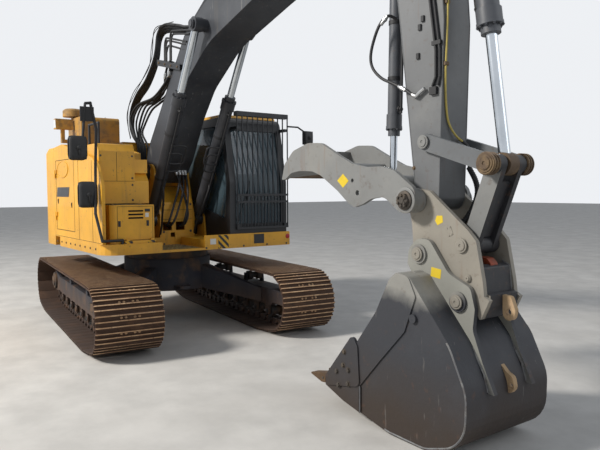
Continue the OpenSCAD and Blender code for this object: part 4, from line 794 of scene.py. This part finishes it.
hoses = Kit("lift_hoses", "lift_barrels", rubber)
with Kit("lift_pipe_loops", "lift_barrels", rubber) as pipes:
    for y0, side in ((-425, 1), (315, -1)):
        at = on_barrel(y0, side)
        for base, reach in ((1270, 215), (1150, 175)):
            loop = [(0, 80, 0), (4, 112, 10), (12, 122, 70), (14, 124, reach - 60), (-6, 124, reach - 8),
                    (-60, 124, reach), (-190, 124, reach), (-245, 124, reach - 12), (-262, 122, reach - 70),
                    (-266, 118, 40), (-262, 82, 0)]
            pipes.tube([at(base + along, ahead, inwards) for along, ahead, inwards in loop], 12.5, steps=5)
        fall = [(640, 70, 1640), (560, 95, 1500), (505, 100, 1380), (470, 100, 1310)]
        hoses.tube([at(640, 84, 0), at(600, 120, 10), at(430, 150, 40)]
                   + [(x, y0 + side * y, z) for x, y, z in fall], 15)
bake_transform(hoses.build(), "upper", "lift_barrels", start=tuple(up(500, 0, 1420)),
         end=tuple(on_barrel(315, -1)(560, 60, 0)))

# Hoses and small fittings of the arm
THUMB_LOOP = [(5106, -130, 3449), (5062, -200, 3470), (4988, -238, 3380), (4913, -250, 3190),
              (4926, -250, 3056), (5040, -252, 2944), (5198, -254, 2870), (5330, -250, 2800),
              (5410, -244, 2752), (5450, -238, 2748)]
FERRULES = ((1, 2), (7, 6))
SLEEVE = [(5712, 92, 2160), (5752, 128, 2050), (5764, 140, 1950), (5740, 122, 1840), (5700, 70, 1730),
          (5660, 20, 1650)]
YELLOW_RUN = [(5706, -176, 3700), (5712, -178, 3450), (5712, -184, 3218), (5704, -190, 2933),
              (5694, -176, 2740), (5690, -150, 2560), (5692, -110, 2470), (5706, -52, 2400), (5720, 0, 2365)]
with Kit("arm_hose_ferrules", "arm", bare) as metal, Kit("arm_hoses", "arm", rubber) as hoses:
    hoses.tube(THUMB_LOOP, 13, steps=8)
    for a, b in FERRULES:
        ferrule(metal, up(*THUMB_LOOP[a]), up(*THUMB_LOOP[b]), 13)
    metal.tube([(5400, -245, 2754), (5440, -242, 2738), (5472, -240, 2758), (5530, -238, 2790)], 15, n=8,
               steps=3)
    hoses.tube([(5690, 0, 2385), (5735, 40, 2330), (5752, 80, 2260), (5712, 92, 2150)], 13, steps=8)
    for x, z in ((5438, 3268), (5470, 3330), (5420, 3040)):
        hoses.slab((x, -228, z), (x + 34, -211, z + 46), 4)
kit = Kit("coupler_hose", "bucket", rubber)
kit.tube(SLEEVE, 24, n=12, steps=14, radii=lambda t: 1.0 if int(t * 70) % 2 else 0.86)
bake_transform(kit.build())
with Kit("arm_yellow_hose", "arm", yellow_hose) as kit:
    kit.tube(YELLOW_RUN, 8.5, n=8, steps=8)
with Kit("arm_hose_clips", "arm", worn) as kit:
    for z, y in ((2950, -190), (3430, -180), (3690, -176)):
        kit.slab((5684, y - 16, z), (5716, y + 26, z + 30), 4)
    for x, z in ((5540, 2330), (5604, 2320), (5574, 2368), (5500, 2360), (5600, 2388), (5394, 2157)):
        kit.bolt((x, -212, z), RIGHT, 13, 9)


# Panels, seams and fittings of the upper structure. Its sides stand at SIDE right and left, and the fronts of
# the tool box, the right housing and the skirt at the other three
SIDE, BOX_FRONT, HOUSING_FRONT, SKIRT_FRONT = 1430, 1250, 1000, 1300


def on_side(y):
    return lambda x, z: up(x, y, z)


def on_front(x):
    return lambda y, z: up(x, y, z)


def on_top(z):
    return lambda x, y: up(x, y, z)


def box(a0, b0, a1, b1):
    return [(a0, b0), (a1, b0), (a1, b1), (a0, b1), (a0, b0)]


def tread(kit, x0, x1, y0, y1, z):
    """Anti-slip plate with a punched pattern of raised rings, 62 mm apart."""
    step = 62
    kit.slab((x0, y0, z + 0.5), (x1, y1, z + 4), 2)
    for i in range(int((x1 - x0 - 30) / step) + 1):
        odd = i % 2
        for j in range(int((y1 - y0 - 30) / step) + 1 - odd):
            kit.turned((x0 + 25 + i * step, y0 + 25 + (j + 0.5 * odd) * step, z + 3.5), TOP,
                       [(0, 17), (5, 12), (5, 8), (1, 6)], n=8)


def latch(kit, place, a, b, axis=RIGHT):
    """A paddle latch: rim, paddle and lock barrel."""
    c = place(a, b)
    u = (place(a + 1, b) - c).normalized()
    v = (place(a, b + 1) - c).normalized()
    for w, h, rise, levels in ((17, 37, 0, (-2, 3)), (10.54, 18.5, 8, (3, 10))):
        rim = [(-w, -h), (w, -h), (w, h), (-w, h)]
        kit.loft([[c + (u * s + v * (t + rise) + axis * level) / 1000 for s, t in rim] for level in levels])
    kit.turned(c - v * 0.024, axis, [(0, 9), (7, 9), (9, 6)], n=12)


# Dark joint lines 5 mm wide, half sunk in their panels
right_face, left_face = on_side(-SIDE - 0.5), on_side(SIDE + 0.5)
SEAMS = (
    (right_face, [box(-800, 1410, 100, 2440), [(300, 1310), (300, 2600)], [(-890, 1315), (1250, 1315)],
                  [(880, 1320), (880, 2380)]]),
    (on_front(BOX_FRONT + 0.5), [box(-1235, 1345, -760, 1780)]),
    (on_front(HOUSING_FRONT + 0.5),
     [[(-1370, 1815), (-900, 1815)], [(-1370, 2110), (-900, 2110)], [(-1140, 2110), (-1140, 2490)]]),
    (left_face, [[(-890, 2640), (-890, 1320)], box(-845, 1410, -484, 2440)]),
    (on_top(3060.5), [[(-750, -1040), (-130, -1040)], [(-750, -880), (-130, -880)]]),
    (on_front(62), [[(-250, 2050), (170, 2050)]]),
    (on_front(492.5), [[(-290, 1560), (178, 1560)], [(-290, 1700), (178, 1700)]]),
)
with Kit("upper_seams", "upper", joint_and_shade_dark) as kit:
    for place, lines in SEAMS:
        for points in lines:
            for a, b in zip(points, points[1:]):
                kit.line([place(*a), place(*b)], 2.5)

with Kit("upper_bolts", "upper", pin_dark) as kit:
    for z in (1780, 1380, 1200):
        for y in (-270, 160):
            kit.bolt((492, y, z), FRONT, 13, 10)
    for z in (1500, 1620, 1740, 1860):
        for end, out in ends((-240, z), 276):
            kit.bolt(end, out, 13, 10)
    for x in (-700, -250):
        kit.bolt((x, -1300, 2610), TOP, 12, 9)
    for y in (-1350, -930):
        for z in (1860, 2060, 2150, 2440):
            kit.bolt((HOUSING_FRONT, y, z), FRONT, 10, 8)
    for y in (0, 220, 600, 1000, 1350):
        kit.bolt((SKIRT_FRONT, y, 1185), FRONT, 11, 8)
    for x in range(-780, 1200, 220):
        for side in (1, -1):
            kit.bolt((x, side * SIDE, 1230), LEFT * side, 12, 9)

with Kit("upper_latches", "upper", cab_black) as kit:
    latch(kit, on_side(-SIDE), 700, 1800)
    latch(kit, on_front(BOX_FRONT), -830, 1560, FRONT)
    latch(kit, on_front(BOX_FRONT), -1210, 1560, FRONT)
    kit.slab((1262, -1075, 1250), (1270, -1015, 1290), 3)
with Kit("right_door_latches", "right_door", cab_black) as kit:
    latch(kit, on_side(-SIDE), -20, 1785)
    latch(kit, on_side(-SIDE), -700, 1835)
with Kit("left_door_latches", "left_door", cab_black) as kit:
    latch(kit, on_side(SIDE), -520, 1800, LEFT)

# The places of badges and signs stay blank: an oval with a raised rim, and plain plates
with Kit("side_badge_blank", "right_door", yellow) as kit:
    rim = [(-440 + 270 * p.x, 2300 + 118 * p.y) for p in circle(Vector(), FRONT, LEFT, 1, 48)]
    kit.plate(rim, -SIDE, -SIDE - 4)
    kit.line(run(rim + rim[:1], -SIDE - 4), 6)
with Kit("side_plate_blank", "right_door", blank_dark) as kit:
    kit.plate([(-770, 1900), (-560, 1900), (-160, 1900), (-120, 2040), (-730, 2040)], 1 - SIDE, -SIDE - 3)

# Blocks with small chamfers: blank plates and signs, warning stripes, the louvres' and slots' openings as
# dark blocks of painted shade, and the roof's hatch
SLABS = (
    ("front_plates_blank", "upper", blank_dark,
     [((1299, 775, 1207), (1304, 948, 1344), 3), ((1249, -868, 1710), (1252, -796, 1748), 1)]),
    ("front_signs_blank", "upper", blank_pale,
     [((1249, -862, 1640), (1252, -815, 1694), 1), ((1299, 60, 1230), (1302, 150, 1310), 1)]),
    ("warning_stripes", "upper", stripes,
     [((1299, 185, 1165), (1303, 352, 1356), 1), ((1287, -1153, 1304), (1290, -1050, 1337), 1),
      ((1287, -845, 1304), (1290, -745, 1337), 1)]),
    ("left_door_louvres", "left_door", joint_and_shade_dark,
     [((-800, 1428, z), (-590, 1432, z + 30), 4) for z in range(1500, 2200, 62)]),
    ("engine_hood_slots", "engine_hood", joint_and_shade_dark,
     [((x, y0, 2738), (x + 20, y1, 2743), 6) for x in range(-840, -440, 40)
      for y0, y1 in ((-420, -60), (20, 330))]),
    ("cab_roof_hatch", "upper", yellow, [((-200, 640, 3088), (420, 1180, 3106), 10)]),
)
for name, body, mat, blocks in SLABS:
    with Kit(name, body, mat) as kit:
        for one, other, cut in blocks:
            kit.slab(one, other, cut)
with Kit("left_door_lips", "left_door", yellow) as kit:
    for z in range(1530, 2230, 62):
        kit.plate([(-805, z), (-585, z), (-585, z + 10), (-805, z + 10)], 1429, 1442)
with Kit("skirt_reflector", "upper", red_lens) as kit:
    kit.turned((1299, 1372, 1290), FRONT, [(0, 36), (6, 36), (10, 30), (12, 18)], n=28)
with Kit("engine_hood_handle", "engine_hood", cab_black) as kit:
    kit.tube([(-872, -60, 2741), (-872, -50, 2762), (-872, 20, 2762), (-872, 30, 2741)], 7, n=8, steps=4)

# Anti-slip plates, filler cap, and eyes and a seam on the counterweight
with Kit("tread_plates", "upper", tread_grey) as kit:
    tread(kit, 740, 1225, -1290, -780, 1800)
    tread(kit, 340, 900, -1340, -930, 2600)
    tread(kit, 340, 860, -880, -730, 2225)
    tread(kit, 560, 1240, -630, -60, 1190)
    tread(kit, -360, 100, -1360, -1260, 2652)
with Kit("filler_cap", "upper", cab_black) as kit:
    kit.turned((620, -800, 2226), TOP, [(0, 62), (20, 62), (24, 56), (30, 50), (30, 0)], n=24)
    kit.slab((575, -808, 2250), (665, -792, 2268), 4)
EYE = ((-60, 2636), (-60, 2680), (-30, 2712), (30, 2712), (60, 2680), (60, 2636))
with Kit("counterweight_eyes", "upper", frame_dark) as kit:
    for y in (-620, 620):
        kit.tube([(-1130, y + across, z) for across, z in EYE], 16, steps=4)
with Kit("counterweight_seams", "upper", joint_and_shade_dark) as kit:
    turns = [math.radians(a) for a in range(-42, 43, 3)]
    kit.line([(-1950 * math.cos(t), 1950 * math.sin(t), 1330) for t in turns], 3)


def mirror_shell(kit, x, y, z, w, h):
    """A mirror's housing: domed back with rounded corners, a rim round the glass, and a knob."""
    def squared(value):
        return math.copysign(abs(value) ** 0.35, value)

    corners = circle(Vector(), LEFT, TOP, 1, 32, 0.5)
    rows = []
    for d, s in ((0.0, 1.0), (0.010, 1.0), (0.024, 0.90), (0.030, 0.72)):
        rows.append([up(x, y + squared(p.y) * (w / 2 + 6) * s, z + squared(p.z) * (h / 2 + 6) * s) + FRONT * d
                     for p in corners])
    kit.loft(rows)
    rim = [p - FRONT * 0.046 for p in rows[0]]
    kit.line(rim + rim[:1], 7)
    kit.turned((x + 28, y, z), FRONT, [(0, 30), (12, 30), (16, 24), (30, 22), (33, 17)])


with Kit("mirror_housings", "upper", mirror_black) as kit:
    mirror_shell(kit, 1170, -1680, 2515, 207, 280)
    mirror_shell(kit, 1170, -1568, 1937, 216, 304)
    mirror_shell(kit, 1342, 1745, 2780, 142, 190)
    for stay in ([(1204, -1568, 1937), (1215, -1568, 1900), (1205, -1560, 1840), (1175, -1510, 1790)],
                 [(1204, -1680, 2515), (1212, -1680, 2470), (1200, -1672, 2420), (1160, -1620, 2390)]):
        kit.tube(stay, 9, n=8, steps=5)

# Cab: wiper, lamps on the raised box, and the levers, pedals and headrest seen through the glass
with Kit("cab_wiper", "upper", rubber) as kit:
    kit.turned((1212, 560, 1560), FRONT, [(0, 22), (14, 22), (18, 14)], n=14)
    kit.tube([(1216, 560, 1560), (1222, 640, 1760), (1224, 720, 1960), (1218, 745, 2060)], 6, n=6, steps=4)
    kit.tube([(1216, 700, 1820), (1219, 735, 1990), (1214, 762, 2120)], 8, n=6, steps=4)
with Kit("roof_lamp_lenses", "upper", lamp_lens) as kit:
    for y in (-1509, -1257):
        kit.plate([(-552, 2905), (-438, 2905), (-455, 3025), (-535, 3025)], y, y - 4)
CAB_Y = 910
LEVER = ((560, 320, 1900), (575, 318, 1990), (560, 312, 2060))
TRAVEL_LEVER = ((840, 90, 1370), (830, 92, 1650), (800, 96, 1900))
with Kit("cab_controls", "upper", plastic) as kit:
    for side in SIDES:
        kit.tube([(x, CAB_Y + side * y, z) for x, y, z in LEVER], 14, steps=4)
        kit.turned((560, CAB_Y + side * 312, 2045), TOP, [(0, 18), (30, 26), (80, 28), (100, 20)], n=14)
        kit.tube([(x, CAB_Y + side * y, z) for x, y, z in TRAVEL_LEVER], 11, n=8, steps=4)
        pedal = CAB_Y + side * 90
        kit.slab((830, pedal - 60, 1390), (960, pedal + 60, 1405), 4)
    kit.slab((20, CAB_Y - 120, 2360), (110, CAB_Y + 120, 2540), 30)


# Bucket, coupler and thumb: bolts, signs left blank, latch and welds
CUTTER_BOLTS = near(TIP, [(-664, -1515), (-576, -1440), (-506, -1470), (-640, -1630), (-512, -1590),
                          (-560, -1320)])
with Kit("cutter_bolts", "bucket", pin_dark) as kit:
    for place in CUTTER_BOLTS:
        for end, out in ends(place, 514):
            kit.bolt(end, out, 19, 16)
with Kit("ear_sign_blank", "bucket", sticker) as kit:
    kit.plate(near(TIP, [(196, -524), (296, -536), (288, -610), (188, -598)]), BOOM_Y - 252.5, BOOM_Y - 254.5)
    kit.plate(near(TIP, [(205, -120), (262, -118), (268, -170), (212, -196), (188, -160)]),
              BOOM_Y - 204.5, BOOM_Y - 206.5)
with Kit("thumb_sign_blank", "thumb", sticker) as kit:
    for side in SIDES:
        kit.plate(near(TIP, [(-862, 172), (-782, 232), (-704, 168), (-782, 106)]),
                  BOOM_Y + side * 339.5, BOOM_Y + side * 341.5)
with Kit("coupler_plate_blank", "bucket", coupler_grey) as kit:
    kit.plate(near(TIP, [(300, -214), (346, -196), (372, -262), (326, -282)]), BOOM_Y - 204, BOOM_Y - 208)
    for x, z in near(TIP, [(312, -216), (340, -206), (358, -258), (332, -270)]):
        kit.bolt((x, BOOM_Y - 208, z), RIGHT, 5, 4)
LATCH = rounded(near(TIP, [(470, -430, 20), (560, -440, 30), (600, -480, 30), (590, -530, 20),
                           (520, -520, 40), (470, -500, 20)]), 4)
with Kit("coupler_latch", "bucket", latch_red) as kit:
    kit.plate(LATCH, BOOM_Y - 42, BOOM_Y + 42)
with Kit("coupler_latch_cylinder", "bucket", lift_grey) as kit:
    kit.turned((TIP[0] + 170, BOOM_Y, TIP[1] - 448), Vector((1, 0, -0.12)),
               [(0, 30), (10, 42), (200, 42), (205, 48), (230, 48), (235, 26), (340, 26)], n=20)
    kit.tube([(TIP[0] + x, BOOM_Y + y, TIP[1] + z) for x, y, z in (
        (190, 30, -400), (200, 70, -330), (235, 90, -230), (190, 110, -160))], 11, n=8)
with Kit("tool_welds", "bucket", bucket_seam) as kit:
    weld(kit, near(TIP, [(548, -470), (618, -500), (640, -690)]), 164, 8)
    weld(kit, near(TIP, [(40, -760), (90, -740), (200, -760)]), 254, 8)
    weld(kit, near(FRONT_PIN, [(-440, -1150), (-440, -1376)]), 502, 7)

# Teeth: tapered caps over their shanks, with a pin through each. Their sections are
# (forward, half width, low, high), and their places across the bucket lie from its middle to 425 mm
TEETH, TOOTH_STEP = 5, 212.5
TOOTH = ((-948, 45, -1254, -1170), (-1010, 45, -1252, -1166), (-1080, 39, -1238, -1180),
         (-1161, 27, -1211, -1201))
with Kit("tooth_pins", "bucket", pin_dark) as pins, Kit("tooth_caps", "bucket", tooth_metal) as kit:
    for i in range(TEETH):
        middle = BOOM_Y + (i - (TEETH - 1) / 2) * TOOTH_STEP
        rows = []
        for x, w, z0, z1 in TOOTH:
            section = [(-w, z0 + 4), (w, z0 + 4), (w, z1 - 2), (w - 12, z1), (12 - w, z1), (-w, z1 - 2)]
            rows.append([up(FRONT_PIN[0] + x, middle + y, FRONT_PIN[1] + z) for y, z in section])
        kit.loft(rows)
        for side in SIDES:
            pins.turned((FRONT_PIN[0] - 985, middle + side * 44, FRONT_PIN[1] - 1212), LEFT * side,
                        [(0, 12), (5, 12), (6, 8)], n=12)

# Undercarriage: covers of the final drives, caps of idlers and rollers, and the track adjuster's cover
DRIVE_COVER = [(-2, 136), (14, 136), (20, 128), (20, 94), (34, 88), (40, 74), (40, 20), (46, 16)]
IDLER_CAP = [(-2, 70), (12, 70), (16, 60), (16, 20)]
ROLLER_CAP = [(-2, 34), (8, 34), (11, 26), (11, 10)]
UPPER_CAP = [(-2, 30), (8, 30), (11, 22)]
FORK, ROLLER_Z, ROLLER_BOLT_Z, UPPER_Z = 150.5, 228.3, 300, 656
ROLLERS, ROLLER_RUN = 8, FLAT - 300
with (Kit("drive_bolts", "undercarriage", chain_iron) as steel,
      Kit("drive_covers", "undercarriage", wheel_iron) as kit):
    for side in SIDES:
        out = down(0, side, 0) - down(0, 0, 0)
        hub = down(-HALF_BASE, side * (GAUGE / 2 + 165), AXLE_Z)
        kit.turned(hub, out, DRIVE_COVER, n=40)
        for c in around(hub, out, 114, 16):
            steel.bolt(c, out, 9.5, 10)
        for s in SIDES:
            away = out * s * side
            face = side * GAUGE / 2 + s * FORK
            cap = down(HALF_BASE, side * GAUGE / 2 + s * 151, AXLE_Z)
            kit.turned(cap, away, IDLER_CAP, n=28)
            for c in around(cap, away, 52, 6):
                steel.bolt(c, away, 7, 7)
            for k in range(ROLLERS):
                x = (k / (ROLLERS - 1) - 0.5) * ROLLER_RUN
                kit.turned(down(x, face, ROLLER_Z), away, ROLLER_CAP, n=18)
                for dx in (-44, 44):
                    steel.bolt(down(x + dx, face, ROLLER_BOLT_Z), away, 8, 8)
            for x in (-600, 600):
                kit.turned(down(x, face, UPPER_Z), away, UPPER_CAP)
        face = side * (GAUGE / 2 + FORK)
        kit.slab(down(900, face - 2, 400), down(1240, face + 3 * side, 500), 4)
        for x in (930, 1210):
            for z in (415, 485):
                steel.bolt(down(x, face + 2 * side, z), out, 9, 8)

# Floor, light and camera
bpy.ops.mesh.primitive_plane_add(size=160, location=(0, 0, -0.001))
floor = bpy.context.object
floor.name = "floor"
floor.data.materials.append(surface("floor", "#cfcdc9", ("noise", "#c6c3be", 0.6, 0.5, 0.4, 0.7),
                                    rough=(0.8, 0.95), bump=0))

# The world is blue and dim as light, and brighter where it is seen, mirrored or looked at through glass
world = bpy.data.worlds.new("world")
bpy.context.scene.world = world
world.use_nodes = True
add = adder(world.node_tree)
sky = add("Background", {"Color": (0.80, 0.86, 0.95, 1), "Strength": 0.34})
seen = add("Background", {"Color": (0.90, 0.92, 0.95, 1), "Strength": 0.95})
rays = add("LightPath", {}).outputs
either = add("Math", {0: rays["Is Transmission Ray"], 1: rays["Is Glossy Ray"]}, operation="MAXIMUM")
direct = add("Math", {0: rays["Is Camera Ray"], 1: either.outputs[0]}, operation="MAXIMUM")
mix = add("MixShader", {0: direct.outputs[0], 1: sky.outputs[0], 2: seen.outputs[0]})
add("OutputWorld", {0: mix.outputs[0]})


def area(name, place, aim, width, power, colour):
    light = bpy.data.lights.new(name, "AREA")
    light.shape = "DISK"
    light.size = width
    light.energy = power
    light.color = colour
    item = bpy.data.objects.new(name, light)
    item.location = place
    item.rotation_euler = (Vector(aim) - Vector(place)).to_track_quat("-Z", "Y").to_euler()
    bpy.context.scene.collection.objects.link(item)


area("key", (-3.5, -15.0, 12.5), (0.5, 0, 1.5), 3.2, 3900, (1.0, 0.96, 0.9))
area("fill", (14.0, 6.0, 9.0), (0.5, 0, 2.0), 9.0, 320, (0.92, 0.96, 1.0))

# The camera's place and axes were fitted to the photograph
CAMERA_PLACE = Vector((7.1164, -4.0351, 1.9742))
CAMERA_RIGHT = Vector((0.59033, 0.80715, -0.00467))
CAMERA_UP = Vector((-0.04169, 0.03626, 0.99847))
camera = bpy.data.cameras.new("camera")
camera.sensor_width = 36.0
camera.lens = 37.390
camera.clip_end = 400
view = bpy.data.objects.new("camera", camera)
bpy.context.scene.collection.objects.link(view)
axes = Matrix((CAMERA_RIGHT, CAMERA_UP, CAMERA_RIGHT.cross(CAMERA_UP))).transposed()
view.matrix_world = Matrix.Translation(CAMERA_PLACE) @ axes.to_4x4()
bpy.context.scene.camera = view
bpy.context.scene.view_settings.view_transform = "Standard"
